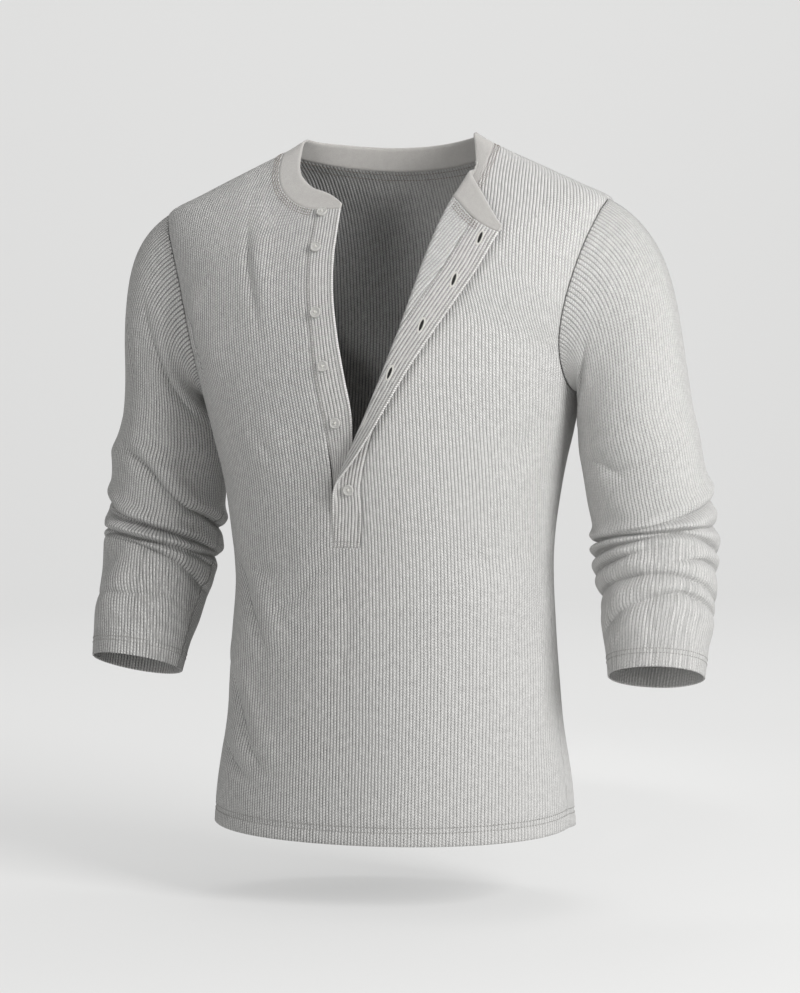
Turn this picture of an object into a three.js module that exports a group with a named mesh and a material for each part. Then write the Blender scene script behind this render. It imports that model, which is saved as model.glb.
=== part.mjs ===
// Long-sleeved henley shirt in rib knit, filled out as worn, with its placket open and one side folded back.
// Millimetres, +Z up, front towards -Y, +X is the wearer's left.
// The origin is midway between the two high shoulder points, where a wearer's neck carries the shirt.
import * as THREE from "three";

// ---- driving dimensions ----
const WALL = 1.6; // thickness of the knit
const SEAM_GAP = 0.3; // clearance between cut pieces that are sewn edge to edge
const CURVED_GAP = 2.4; // the same where a seam goes round a tight bend, which its two sides take in different steps
const HEM_Z = -680;
const HEM_RISE = 9; // how far the hem rises from centre front to the side seams
const ARMHOLE_MIDDLE_Z = -151.5;
const ARMHOLE_HALF_HEIGHT = 93;
const ARMHOLE_FRONT = { scoop: 45, sag: 10 }; // how far the front edge is cut in, and how far low down
const ARMHOLE_BACK = { scoop: 40, sag: 4 };
const BACK_NECK_DROP = 20;
const PLACKET_WIDTH = 30;
const PLACKET_BASE_Z = -393;
const ROLL_RADIUS = 3.5; // of the soft fold where the open side turns back
const BAND_HEIGHT = 24;
const BUTTON = { radius: 5.4, thickness: 2.4, sides: 12, rim: 0.5 };

const FRONT = -1;
const BACK = 1;
const LEFT = -1; // the wearer's right, at -X
const RIGHT = 1;

// Rows under named columns, as objects.
function table(columns, rows) {
  const names = columns.split(" ");
  return rows.map((row) => Object.fromEntries(names.map((name, i) => [name, row[i]])));
}

// Horizontal sections of the body of the shirt, from the hem to inside the neck.
const BODY = table("z halfWidth front back middle", [
  [-700, 189, 110, 125, -12],
  [-640, 184, 109, 116, -8],
  [-560, 174, 107, 101, -3],
  [-480, 168, 106, 87, 1],
  [-410, 166, 107, 83, 3],
  [-340, 174, 114, 90, 4],
  [-280, 187, 121, 101, 5],
  [-230, 200, 120, 113, 2],
  [-180, 211, 111, 124, -3],
  [-140, 220, 98, 128, -8],
  [-100, 229, 78, 128, -12],
  [-70, 234.5, 59, 118, -11],
  [-58, 234, 52, 110, -8],
  [-40, 198, 44, 95, -4],
  [-20, 155, 29, 75, 0],
  [-8, 129, 19, 55, 3],
  [0, 112, 12, 42, 5],
  [14, 84, 6, 30, 5],
]);
const SECTION_POWER = 2.25; // superellipse: fuller than an ellipse at the corners

// Seam of the button placket, pulled aside by the open neck: distance from the centre line by height.
const BUTTON_SEAM = table("z s width", [
  [-393, -21.5, 30],
  [-345, -18.5, 21],
  [-320, -18.5, 17],
  [-297, -20.5, 25],
  [-263, -25, 31],
  [-229, -31.5, 31.5],
  [-185, -37, 28.5],
  [-146, -43, 28],
  [-112, -46, 27.5],
  [-82, -47.5, 26.5],
  [-62, -50, 26],
]);

// The fold of the open side: its edge, how far the cloth has turned over, and how much lies beyond the fold.
const LAPEL = table("z edge turn beyond", [
  [-393, -21, 0, 0],
  [-372, -18.8, 15, 1],
  [-352, -15.5, 60, 4.5],
  [-331, -10, 110, 10],
  [-312, 0, 135, 16],
  [-284, 14.5, 145, 23],
  [-250, 31, 158, 27],
  [-211, 46.5, 168, 36],
  [-166, 60, 173, 56],
  [-114, 77, 175, 69],
  [-75, 88.5, 176, 79],
  [-55, 95, 176, 82],
  [-20, 106, 176, 84],
]);

// Neck seam and band edge on the part that is folded back, by distance beyond the fold.
const FOLDED_NECK = table("beyond seamZ edgeZ", [
  [0, -55, -23],
  [12, -58.5, -29],
  [28, -64, -37],
  [44, -69.5, -45],
  [58, -73, -54],
  [70, -75, -64],
  [80, -76, -69],
]);

// Neck seam from the shoulder seam down: on the left to the placket, on the right to the fold, and half the back.
const LEFT_NECK = table("s z", [
  [-114.8, -0.5],
  [-109.5, -15],
  [-103, -29],
  [-92, -43],
  [-77, -54],
  [-62, -60],
  [-50, -62],
]);
const RIGHT_NECK = table("s z", [
  [114.8, -0.5],
  [115.2, -18],
  [113.5, -38],
  [106, -50.5],
]);
const BACK_NECK_STEPS = 4;

// The arm's line and the sleeve's half-sizes across it.
const ARM = table("z x y side front", [
  [-272, 248, 26, 56, 66],
  [-296, 252, 26, 59, 64],
  [-330, 258, 24, 58, 59],
  [-360, 263, 26, 58, 59],
  [-390, 267, 25, 57, 59],
  [-420, 270, 19, 56, 58],
  [-450, 274, 8, 53, 55],
  [-480, 276.5, -4, 51, 52],
  [-505, 278.5, -12, 48.5, 50],
  [-520, 279.6, -17, 47, 48],
]);

// Folds of the pushed-up sleeves: middle height, rise to the outer side, the way they face and how far they
// reach round the arm (degrees), depth and half-width.
const FOLD_COLUMNS = "z slant facing reach depth width";
const SLEEVE_FOLDS = {
  [LEFT]: table(FOLD_COLUMNS, [
    [-345, 50, 90, 120, 6, 9],
    [-381, 34, 90, 150, 7, 8],
    [-400, 14, 95, 150, 6, 7],
    [-428, 24, 100, 120, 4, 9],
    [-464, 2, 90, 110, 2, 8],
  ]),
  [RIGHT]: table(FOLD_COLUMNS, [
    [-368, 24, 60, 110, 6, 8],
    [-385, 3, 95, 150, 6, 7],
    [-401, -4, 85, 150, 6, 7],
    [-419, 5, 150, 60, 4, 7],
    [-445, -6, 90, 150, 4, 8],
    [-467, 18, 70, 120, 5, 9],
  ]),
};

// Soft drapes of the body: from one place to another on a panel, with height and half-width.
const DRAPE_COLUMNS = "panel fromS fromZ toS toZ height width";
const DRAPES = table(DRAPE_COLUMNS, [
  [FRONT, -190, -130, -150, -230, 5, 22],
  [FRONT, -150, -250, -70, -330, 3.5, 26],
  [FRONT, -200, -430, -60, -400, -4, 24],
  [FRONT, -190, -520, -80, -470, 3.5, 26],
  [FRONT, 60, -470, 190, -430, 3, 28],
  [FRONT, 200, -260, 150, -330, -3, 20],
  [BACK, -170, -430, -30, -400, -5, 24],
  [BACK, 40, -450, 180, -410, -5, 26],
  [BACK, -150, -350, 120, -330, 4, 30],
  [BACK, -120, -520, 130, -540, 4, 34],
]);

// ---- curves and sections ----
// Smooth value of one column where another column, which only rises or only falls, is at.
function along(rows, key, column, at) {
  const rising = rows[rows.length - 1][key] > rows[0][key];
  const list = rising ? rows : [...rows].reverse();
  const last = list.length - 1;
  const x = (i) => list[i][key];
  const y = (i) => list[i][column];
  const slope = (i) => (y(i + 1) - y(i)) / (x(i + 1) - x(i));
  const tangent = (i) => {
    if (i === 0) return slope(0);
    if (i === last) return slope(last - 1);
    const before = x(i) - x(i - 1);
    const after = x(i + 1) - x(i);
    return (after * slope(i - 1) + before * slope(i)) / (before + after);
  };
  if (at <= x(0)) return y(0) + (at - x(0)) * tangent(0);
  if (at >= x(last)) return y(last) + (at - x(last)) * tangent(last);
  let i = 0;
  while (at > x(i + 1)) i++;
  const width = x(i + 1) - x(i);
  const u = (at - x(i)) / width;
  return (
    (1 + 2 * u) * (1 - u) ** 2 * y(i) +
    u * (1 - u) ** 2 * width * tangent(i) +
    u * u * (3 - 2 * u) * y(i + 1) +
    u * u * (u - 1) * width * tangent(i + 1)
  );
}

const body = (column, z) => along(BODY, "z", column, z);
const radians = THREE.MathUtils.degToRad;
const smooth = (x) => THREE.MathUtils.smoothstep(x, 0, 1);
const lerp = THREE.MathUtils.lerp;

// A quarter of the section at height z, from the centre line round to the side, with the length so far.
const QUARTER_STEPS = 40;
const quarterCache = new Map();
function quarter(panel, z) {
  const key = panel + ":" + z.toFixed(4);
  if (quarterCache.has(key)) return quarterCache.get(key);
  const a = body("halfWidth", z);
  const b = body(panel === FRONT ? "front" : "back", z);
  const points = [];
  let length = 0;
  for (let k = 0; k <= QUARTER_STEPS; k++) {
    const angle = (Math.PI / 2) * (k / QUARTER_STEPS);
    const x = a * Math.sin(angle) ** (2 / SECTION_POWER);
    const y = b * Math.max(0, Math.cos(angle)) ** (2 / SECTION_POWER);
    if (k) length += Math.hypot(x - points[k - 1].x, y - points[k - 1].y);
    points.push({ x, y, length });
  }
  quarterCache.set(key, points);
  return points;
}
const sideLength = (panel, z) => quarter(panel, z)[QUARTER_STEPS].length;

// Point of the plain form: s is the distance round the section from the panel's centre line.
function formPoint(panel, s, z) {
  const points = quarter(panel, z);
  const length = Math.min(Math.abs(s), points[QUARTER_STEPS].length);
  let k = 0;
  while (k < QUARTER_STEPS - 1 && points[k + 1].length < length) k++;
  const u = (length - points[k].length) / (points[k + 1].length - points[k].length);
  const x = lerp(points[k].x, points[k + 1].x, u);
  const y = lerp(points[k].y, points[k + 1].y, u);
  return new THREE.Vector3(Math.sign(s) * x, body("middle", z) + panel * y, z);
}

// Outward normal of the plain form, by differences that stay on the panel.
function formNormal(panel, s, z) {
  const step = 1.5;
  const limit = sideLength(panel, z) - step - 0.01;
  const centre = THREE.MathUtils.clamp(s, -limit, limit);
  const across = formPoint(panel, centre + step, z).sub(formPoint(panel, centre - step, z));
  const f = s / sideLength(panel, z);
  const up = formPoint(panel, f * sideLength(panel, z + step), z + step);
  up.sub(formPoint(panel, f * sideLength(panel, z - step), z - step));
  const normal = across.cross(up).multiplyScalar(-panel);
  if (Math.abs(s) > sideLength(panel, z) - 2) normal.y = 0; // front and back share the normal of their seam
  return normal.normalize();
}

// How far a panel's soft drapes stand out at a place, fading to nothing at its side seam.
function drape(panel, s, z) {
  let height = 0;
  for (const fold of DRAPES) {
    if (fold.panel !== panel) continue;
    const alongS = fold.toS - fold.fromS;
    const alongZ = fold.toZ - fold.fromZ;
    const square = alongS ** 2 + alongZ ** 2;
    const t = ((s - fold.fromS) * alongS + (z - fold.fromZ) * alongZ) / square;
    const off = ((s - fold.fromS) * alongZ - (z - fold.fromZ) * alongS) / Math.sqrt(square);
    if (t <= 0 || t >= 1) continue;
    height += fold.height * Math.sin(Math.PI * t) * Math.exp(-((off / fold.width) ** 2));
  }
  const fromSide = sideLength(panel, z) - Math.abs(s);
  return height * smooth(fromSide / 40) * smooth(-z / 120);
}

// The cloth at a place: its point, lifted off the form, and its outward normal, turned over where it is folded.
function clothAt(panel, { s, z, lift = 0, turned = 0, across = null }) {
  const normal = formNormal(panel, s, z);
  const point = formPoint(panel, s, z).addScaledVector(normal, drape(panel, s, z) + lift);
  if (turned) {
    const step = formPoint(panel, s + across.x, z + across.y).sub(formPoint(panel, s - across.x, z - across.y));
    step.addScaledVector(normal, -step.dot(normal)).normalize();
    normal.multiplyScalar(Math.cos(turned)).addScaledVector(step, Math.sin(turned));
  }
  return { point, normal };
}

// ---- the folded side ----
const lapel = (column, z) => along(LAPEL, "z", column, z);
const seamBeyond = (z) => lapel("beyond", z) - PLACKET_WIDTH;

// Hinge of the fold at height z: where the turn starts, and the direction away from the opening.
function hinge(z) {
  const turn = radians(lapel("turn", z));
  const fromBase = smooth((z - PLACKET_BASE_Z) / 40);
  const lean = (fromBase * (lapel("edge", z + 8) - lapel("edge", z - 8))) / 16;
  const across = new THREE.Vector2(1, -lean).normalize();
  const reach = ROLL_RADIUS * Math.sin(Math.min(turn, Math.PI / 2));
  return { at: new THREE.Vector2(lapel("edge", z) + reach, z), across, turn };
}

// Place and lift of the cloth that lies a distance beyond the fold (before it where negative).
function foldedPlace(z, beyond) {
  const { at, across, turn } = hinge(z);
  const angle = Math.min(Math.max(beyond, 0) / ROLL_RADIUS, turn);
  const rest = beyond - ROLL_RADIUS * angle;
  const offset = -ROLL_RADIUS * Math.sin(angle) - rest * Math.cos(angle);
  const lift = ROLL_RADIUS * (1 - Math.cos(angle)) + rest * Math.sin(angle);
  return { s: at.x + across.x * offset, z: at.y + across.y * offset, lift, turned: angle, across };
}
const place = (s, z, lift = 0) => ({ s, z, lift });
const blend = (a, b, u) => place(lerp(a.s, b.s, u), lerp(a.z, b.z, u), lerp(a.lift, b.lift, u));

// ---- closed walls ----
// A wall from a net of quads: outer vertices, inner vertices and the strips along every free edge.
function wall(outer, inner, quads) {
  const count = outer.length;
  const faces = [];
  const edges = new Map();
  for (const quad of quads) {
    const [a, b, c, d] = quad;
    faces.push([a, b, c], [a, c, d]);
    faces.push([c + count, b + count, a + count], [d + count, c + count, a + count]);
    quad.forEach((from, i) => edges.set(from + ">" + quad[(i + 1) % 4], [from, quad[(i + 1) % 4]]));
  }
  for (const [from, to] of edges.values()) {
    if (edges.has(to + ">" + from)) continue;
    faces.push([to, from, from + count], [to, from + count, to + count]);
  }
  const position = [...outer, ...inner].flatMap((p) => [p.x, p.y, p.z]);
  const geometry = new THREE.BufferGeometry();
  geometry.setAttribute("position", new THREE.Float32BufferAttribute(position, 3));
  geometry.setIndex(faces.flat());
  geometry.computeVertexNormals();
  return geometry;
}

// Vertex normals of a net of quads.
function netNormals(points, quads) {
  const normals = points.map(() => new THREE.Vector3());
  for (const [a, b, c, d] of quads) {
    const one = points[c].clone().sub(points[a]);
    const two = points[d].clone().sub(points[b]);
    const normal = one.cross(two);
    for (const i of [a, b, c, d]) normals[i].add(normal);
  }
  return normals.map((n) => n.normalize());
}

// The cloth's inner face lies one wall behind its outer face.
function clothWall(cloth, quads, thickness = WALL) {
  const outer = cloth.map(({ point }) => point);
  const inner = cloth.map(({ point, normal }) => point.clone().addScaledVector(normal, -thickness));
  return wall(outer, inner, quads);
}

// Quads of a grid of rows and columns; flip turns them the other way out.
function gridQuads(rows, columns, flip = false, start = 0) {
  const quads = [];
  for (let i = 0; i < rows; i++) {
    for (let j = 0; j < columns; j++) {
      const a = start + i * (columns + 1) + j;
      const quad = [a, a + 1, a + columns + 2, a + columns + 1];
      quads.push(flip ? quad.reverse() : quad);
    }
  }
  return quads;
}

// ---- rows that the panels share ----
const ARMHOLE_STEPS = 11;
const LOW_ROWS = 5;
const SIDE_ROWS = [-393, -372, -352, -331, -312, -286, -266]; // heights from the placket's base to the armhole
const hemZ = (f) => HEM_Z + HEM_RISE * f * f;

// Place on the armhole's edge; the angle runs from the shoulder (0) down to the underarm (180 degrees).
function armholePlace(panel, angle, inset = 0) {
  const cut = panel === FRONT ? ARMHOLE_FRONT : ARMHOLE_BACK;
  const scoop = cut.scoop * Math.sin(angle) - cut.sag * Math.sin(2 * angle);
  const z = ARMHOLE_MIDDLE_Z + (ARMHOLE_HALF_HEIGHT - inset) * Math.cos(angle);
  return place(sideLength(panel, z) - scoop - inset, z);
}

// Outer edge of a half panel: up its side seam, then round its armhole to the shoulder.
function outerEdge(panel, side) {
  const edge = SIDE_ROWS.map((z) => place(sideLength(panel, z) - SEAM_GAP / 2, z));
  for (let k = 0; k <= ARMHOLE_STEPS; k++) {
    const angle = Math.PI * (1 - k / ARMHOLE_STEPS);
    edge.push(armholePlace(panel, angle, SEAM_GAP / 2));
  }
  return edge.map((p) => place(side * p.s, p.z));
}

// Height of the shoulder seam where the section is as wide as this.
function shoulderZ(panel, s) {
  let low = ARMHOLE_MIDDLE_Z + ARMHOLE_HALF_HEIGHT;
  let high = 14;
  for (let k = 0; k < 30; k++) {
    const middle = (low + high) / 2;
    if (sideLength(panel, middle) > s) low = middle;
    else high = middle;
  }
  return low;
}

// Last row of a half panel: along the shoulder seam from the neck to the armhole.
function shoulderRow(panel, side, inner, outer, fractions) {
  return fractions.map((f) => {
    const s = lerp(Math.abs(inner.s), Math.abs(outer.s), f);
    const z = Math.min(shoulderZ(panel, s), lerp(inner.z, outer.z, f) + 12) - SEAM_GAP / 2;
    const limited = Math.min(s, sideLength(panel, z) - SEAM_GAP / 2);
    return place(side * limited, z);
  });
}

// ---- front ----
const LEFT_COLUMNS = 8;
const FOLD_STEPS = [5, 10, 15, 20, 26, 32, 39, 48]; // distances from the opening that a tight roll needs
const WIDE_COLUMNS = 6;
const fractionsTo = (count) => Array.from({ length: count + 1 }, (_, i) => i / count);

// The neck seam's places, which the band meets: from the opening to the shoulder.
const leftNeckPlaces = () => [...LEFT_NECK].reverse().map(({ s, z }) => place(s, z));
const rightNeckPlaces = () => [...RIGHT_NECK].reverse().map(({ s, z }) => place(s, z));

// Inner edge of the left half: up the button placket's seam, then along the neck seam.
function leftInnerEdge() {
  const slit = [...SIDE_ROWS, -229, -193, -158, -125, -92, -62].map((z) =>
    place(along(BUTTON_SEAM, "z", "s", z) - SEAM_GAP / 2, z),
  );
  const neck = leftNeckPlaces().slice(1);
  return [...slit, ...neck];
}

// Rows of the right half that reach the fold, as heights on the fold, and what lies beyond it there.
const RIGHT_SLIT_ROWS = [...SIDE_ROWS, -228, -208, -188, -155, -115, -75];
const FOLDED_NECK_ROWS = [25, 7.3];
const foldedSeamZ = (beyond) => along(FOLDED_NECK, "beyond", "seamZ", Math.max(0, beyond));

function rightRow(start, beyond, outer) {
  const row = [];
  const far = place(outer.s, outer.z);
  const bend = foldedPlace(start, Math.min(beyond, 0));
  const length = Math.hypot(far.s - bend.s, far.z - bend.z);
  const before = Math.max(beyond, 0);
  const at = (distance) =>
    distance < before ? foldedPlace(start, before - distance) : blend(bend, far, (distance - before) / length);
  row.push(at(0));
  for (const distance of FOLD_STEPS) row.push(at(distance));
  const last = FOLD_STEPS[FOLD_STEPS.length - 1];
  const total = before + length;
  for (let k = 1; k <= WIDE_COLUMNS; k++) row.push(at(lerp(last, total, k / WIDE_COLUMNS)));
  return row;
}

function rightUpper() {
  const outer = outerEdge(FRONT, RIGHT);
  const rows = RIGHT_SLIT_ROWS.map((z, i) => rightRow(z, seamBeyond(z) - SEAM_GAP / 2, outer[i]));
  for (const beyond of FOLDED_NECK_ROWS) {
    rows.push(rightRow(foldedSeamZ(beyond) - SEAM_GAP, beyond, outer[rows.length]));
  }
  const columns = FOLD_STEPS.length + WIDE_COLUMNS;
  const steps = [0, ...FOLD_STEPS.map((distance) => distance / 130)];
  const last = steps[steps.length - 1];
  for (let i = 1; i <= WIDE_COLUMNS; i++) steps.push(lerp(last, 1, i / WIDE_COLUMNS));
  for (const inner of rightNeckPlaces()) {
    const end = outer[rows.length];
    const isShoulder = rows.length === outer.length - 1;
    rows.push(isShoulder ? shoulderRow(FRONT, RIGHT, inner, end, steps) : steps.map((f) => blend(inner, end, f)));
  }
  return { rows, columns };
}

function leftUpper() {
  const outer = outerEdge(FRONT, LEFT);
  const inner = leftInnerEdge();
  const fractions = fractionsTo(LEFT_COLUMNS);
  const rows = inner.map((start, i) =>
    i === inner.length - 1
      ? shoulderRow(FRONT, LEFT, start, outer[i], fractions)
      : fractions.map((f) => blend(start, outer[i], f)),
  );
  return { rows, columns: LEFT_COLUMNS };
}

function front() {
  const right = rightUpper();
  const left = leftUpper();
  const places = [];
  const quads = [];
  // Below the placket one net spans the whole width; its top row is shared by both upper halves.
  const top = [...[...left.rows[0]].reverse(), ...right.rows[0]];
  const width = top.length - 1;
  const half = sideLength(FRONT, HEM_Z);
  for (let i = 0; i <= LOW_ROWS; i++) {
    const v = i / LOW_ROWS;
    for (const p of top) {
      const f = p.s / sideLength(FRONT, PLACKET_BASE_Z);
      const z = lerp(hemZ(f), PLACKET_BASE_Z, v);
      const spread = sideLength(FRONT, z) - SEAM_GAP / 2;
      const s = Math.abs(f) > 0.999 ? Math.sign(f) * spread : lerp(f * spread, p.s, v * v);
      places.push(place(s, z));
    }
  }
  quads.push(...gridQuads(LOW_ROWS, width));
  const topStart = LOW_ROWS * (width + 1);
  const add = ({ rows, columns }, firstRow, flip) => {
    const index = rows.map((row, i) =>
      row.map((p, j) => {
        if (i === 0) return firstRow(j);
        places.push(p);
        return places.length - 1;
      }),
    );
    for (let i = 0; i < rows.length - 1; i++) {
      for (let j = 0; j < columns; j++) {
        const quad = [index[i][j], index[i][j + 1], index[i + 1][j + 1], index[i + 1][j]];
        quads.push(flip ? quad.reverse() : quad);
      }
    }
  };
  add(left, (j) => topStart + LEFT_COLUMNS - j, true);
  add(right, (j) => topStart + LEFT_COLUMNS + 1 + j, false);
  return clothWall(places.map((p) => clothAt(FRONT, p)), quads);
}

// ---- back ----
const BACK_SHOULDER_STEPS = 3;
const backNeckHalf = sideLength(BACK, 0) - SEAM_GAP;
const backNeckZ = (s) => -BACK_NECK_DROP * (1 - (s / backNeckHalf) ** 2) - SEAM_GAP;

// The back neck seam's places, from one shoulder to the other.
function backNeckPlaces() {
  const places = [];
  for (let i = -BACK_NECK_STEPS; i <= BACK_NECK_STEPS; i++) {
    const s = (backNeckHalf * i) / BACK_NECK_STEPS;
    places.push(place(s, backNeckZ(s)));
  }
  return places;
}

function back() {
  const outer = outerEdge(BACK, RIGHT);
  const tip = outer[outer.length - 1];
  const shoulder = fractionsTo(BACK_SHOULDER_STEPS);
  const right = shoulderRow(BACK, RIGHT, place(backNeckHalf, -SEAM_GAP), tip, shoulder).slice(1);
  const left = right.map((p) => place(-p.s, p.z)).reverse();
  const top = [...left, ...backNeckPlaces(), ...right];
  const columns = top.length - 1;
  const rowCount = LOW_ROWS + outer.length - 1;
  const places = [];
  for (let i = 0; i <= rowCount; i++) {
    for (const end of top) {
      const f = end.s / tip.s;
      if (i < LOW_ROWS) {
        const z = lerp(hemZ(f), PLACKET_BASE_Z, i / LOW_ROWS);
        places.push(place(f * (sideLength(BACK, z) - SEAM_GAP / 2), z));
        continue;
      }
      const edge = outer[i - LOW_ROWS];
      const rise = ((i - LOW_ROWS) / (outer.length - 1)) ** 3;
      places.push(place(lerp(f * edge.s, end.s, rise), edge.z + (end.z - tip.z) * rise));
    }
  }
  return clothWall(places.map((p) => clothAt(BACK, p)), gridQuads(rowCount, columns, true));
}

// ---- sleeves ----
const CAP_RINGS = 7;
const ARM_RINGS = 19;
const arm = (column, z) => along(ARM, "z", column, z);
const armPoint = (z, side) => new THREE.Vector3(side * arm("x", z), arm("y", z), z);

// Frame of the sleeve at height z on the arm's line: down the arm, outward and forward.
function armFrame(z, side) {
  const down = armPoint(z - 6, side).sub(armPoint(z + 6, side)).normalize();
  const outward = new THREE.Vector3(side, 0, 0).addScaledVector(down, -down.x * side).normalize();
  const forward = new THREE.Vector3(0, -1, 0).addScaledVector(down, down.y);
  forward.addScaledVector(outward, outward.y).normalize();
  return { down, outward, forward };
}

// How far the sleeve's folds stand out at height z of the arm and an angle round it.
function sleeveFold(z, angle, side) {
  let height = 0;
  for (const fold of SLEEVE_FOLDS[side]) {
    let turn = angle - radians(fold.facing);
    turn = Math.atan2(Math.sin(turn), Math.cos(turn));
    const reach = turn / radians(fold.reach);
    if (Math.abs(reach) >= 1) continue;
    const line = fold.z + (fold.slant / 2) * Math.cos(angle);
    const off = (z - line) / fold.width;
    height -= fold.depth * Math.cos((Math.PI / 2) * reach) ** 2 * Math.exp(-off * off);
  }
  return height;
}

function armRing(z, side, angles) {
  const { outward, forward } = armFrame(z, side);
  const centre = armPoint(z, side);
  const crumple = smooth((-300 - z) / 50) * smooth((z + 500) / 40);
  return angles.map((angle) => {
    const swell = 2 * crumple + sleeveFold(z, angle, side);
    const across = (arm("side", z) + swell) * Math.cos(angle);
    const ahead = (arm("front", z) + swell) * Math.sin(angle);
    return centre.clone().addScaledVector(outward, across).addScaledVector(forward, ahead);
  });
}

// The armhole as the sleeve meets it, round from the shoulder by the front, with the cloth's normals.
function armholeRing(side) {
  const ring = [];
  for (let k = 0; k < 2 * ARMHOLE_STEPS; k++) {
    const angle = (Math.PI * k) / ARMHOLE_STEPS;
    const panel = k <= ARMHOLE_STEPS ? FRONT : BACK;
    const down = panel === FRONT ? angle : 2 * Math.PI - angle;
    const at = armholePlace(panel, down);
    ring.push({ ...clothAt(panel, place(side * at.s, at.z)), down });
  }
  return ring;
}

function sleeve(side) {
  const ring = armholeRing(side);
  const count = ring.length;
  const angles = ring.map((_, k) => (2 * Math.PI * k) / count);
  const topZ = ARM[0].z;
  const cuffZ = ARM[ARM.length - 1].z;
  const first = armRing(topZ, side, angles);
  const { down } = armFrame(topZ, side);
  const points = [];
  for (let i = 0; i <= CAP_RINGS; i++) {
    const u = i / CAP_RINGS;
    ring.forEach(({ point, normal, down: angle }, k) => {
      const reach = lerp(45, 235, (1 + Math.cos(angle)) / 2);
      const start = new THREE.Vector3(side * 0.92, 0, -0.38 * Math.cos(angle / 2) - 0.12);
      const from = point.clone().addScaledVector(start, lerp(SEAM_GAP, CURVED_GAP, Math.cos(angle) ** 2));
      from.z += 2.4 * SEAM_GAP * (1 - Math.cos(angle));
      if (i === 0) {
        points.push(from);
        return;
      }
      const h = [(1 + 2 * u) * (1 - u) ** 2, u * (1 - u) ** 2, u * u * (3 - 2 * u), u * u * (u - 1)];
      const p = from.multiplyScalar(h[0]).addScaledVector(start, h[1] * reach);
      p.addScaledVector(first[k], h[2]).addScaledVector(down, h[3] * reach);
      points.push(p);
    });
  }
  for (let i = 1; i <= ARM_RINGS; i++) {
    points.push(...armRing(lerp(topZ, cuffZ, i / ARM_RINGS), side, angles));
  }
  const quads = [];
  for (let i = 0; i < CAP_RINGS + ARM_RINGS; i++) {
    for (let k = 0; k < count; k++) {
      const next = (k + 1) % count;
      const quad = [i * count + k, i * count + next, (i + 1) * count + next, (i + 1) * count + k];
      quads.push(side === RIGHT ? quad : quad.reverse());
    }
  }
  const normals = netNormals(points, quads);
  ring.forEach(({ normal }, k) => normals[k].copy(normal));
  return clothWall(points.map((point, i) => ({ point, normal: normals[i] })), quads);
}

// ---- neckband ----
const BAND_STEPS = 3;

// Place that lies a true distance up the form from another, in a direction of the panel's places.
function risePlace(from, ds, dz, distance) {
  const start = formPoint(FRONT, from.s, from.z);
  const probe = 0.5;
  const near = formPoint(FRONT, from.s + ds * probe, from.z + dz * probe);
  const scale = (distance * probe) / near.distanceTo(start);
  return place(from.s + ds * scale, from.z + dz * scale, from.lift);
}

// Stations along the neck seam: each is a line of points from the seam up to the band's edge.
function bandStations() {
  const stations = [];
  const surface = (seam, edge) => {
    const line = [];
    for (let k = 0; k <= BAND_STEPS; k++) {
      const mixed = blend(seam, edge, k / BAND_STEPS);
      line.push(clothAt(FRONT, { ...mixed, turned: seam.turned, across: seam.across }));
    }
    stations.push(line);
  };
  // Left front: over the button placket's end, then round the neck; it narrows towards the placket's edge.
  const leftRise = table("s dz height", [
    [-24.5, 1, 7],
    [-33, 1, 15],
    [-42, 1, 21],
    [-50, 0.99, 24],
    [-62, 0.97, 24],
    [-77, 0.9, 24],
    [-92, 0.78, 24],
    [-103, 0.6, 24],
    [-109.5, 0.5, 24],
  ]);
  for (const { s, dz, height } of leftRise) {
    const seam = place(s, Math.min(-50, s) === s ? along(LEFT_NECK, "s", "z", s) : -62);
    const rise = risePlace(seam, Math.sqrt(1 - dz * dz), dz, height);
    surface(risePlace(seam, Math.sqrt(1 - dz * dz), dz, SEAM_GAP), rise);
  }
  // Back, from one high shoulder point to the other, standing more upright at the centre.
  for (const at of backNeckPlaces()) {
    const seam = clothAt(BACK, at).point;
    const inward = new THREE.Vector3(-seam.x, 10 - seam.y, 0).normalize();
    const share = at.s / backNeckHalf;
    const rise = radians(lerp(30, 76, 1 - share * share));
    const up = inward.clone().multiplyScalar(Math.cos(rise)).setZ(Math.sin(rise));
    const normal = inward.clone().multiplyScalar(-Math.sin(rise)).setZ(Math.cos(rise));
    const line = [];
    for (let k = 0; k <= BAND_STEPS; k++) {
      const height = lerp(lerp(SEAM_GAP, CURVED_GAP, share ** 8), BAND_HEIGHT, k / BAND_STEPS);
      line.push({ point: seam.clone().addScaledVector(up, height), normal });
    }
    stations.push(line);
  }
  // Right front: down to the fold, then over it and along the part that lies folded back.
  const rightEdges = [place(97.5, -4), place(104, -18), place(107, -23)];
  const rightSeams = rightNeckPlaces().reverse().slice(1);
  rightSeams.forEach((seam, k) => {
    const edge = rightEdges[k];
    const length = Math.hypot(edge.s - seam.s, edge.z - seam.z);
    surface(blend(seam, edge, CURVED_GAP / 2 / length), edge);
  });
  for (const beyond of [0, 3.7, 7.3, 11, 18, 25, 33, 41, 50, 60, 70, lapel("beyond", -75)]) {
    const edgeZ = along(FOLDED_NECK, "beyond", "edgeZ", beyond);
    const gap = lerp(SEAM_GAP, CURVED_GAP, Math.exp(-(((beyond - 10) / 8) ** 2)));
    surface(foldedPlace(foldedSeamZ(beyond) + gap, beyond), foldedPlace(edgeZ, beyond));
  }
  return stations;
}

function neckband() {
  const stations = bandStations();
  return clothWall(stations.flat(), gridQuads(stations.length - 1, BAND_STEPS));
}

// ---- plackets ----
const buttonSeam = (column, z) => along(BUTTON_SEAM, "z", column, z);

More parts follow.
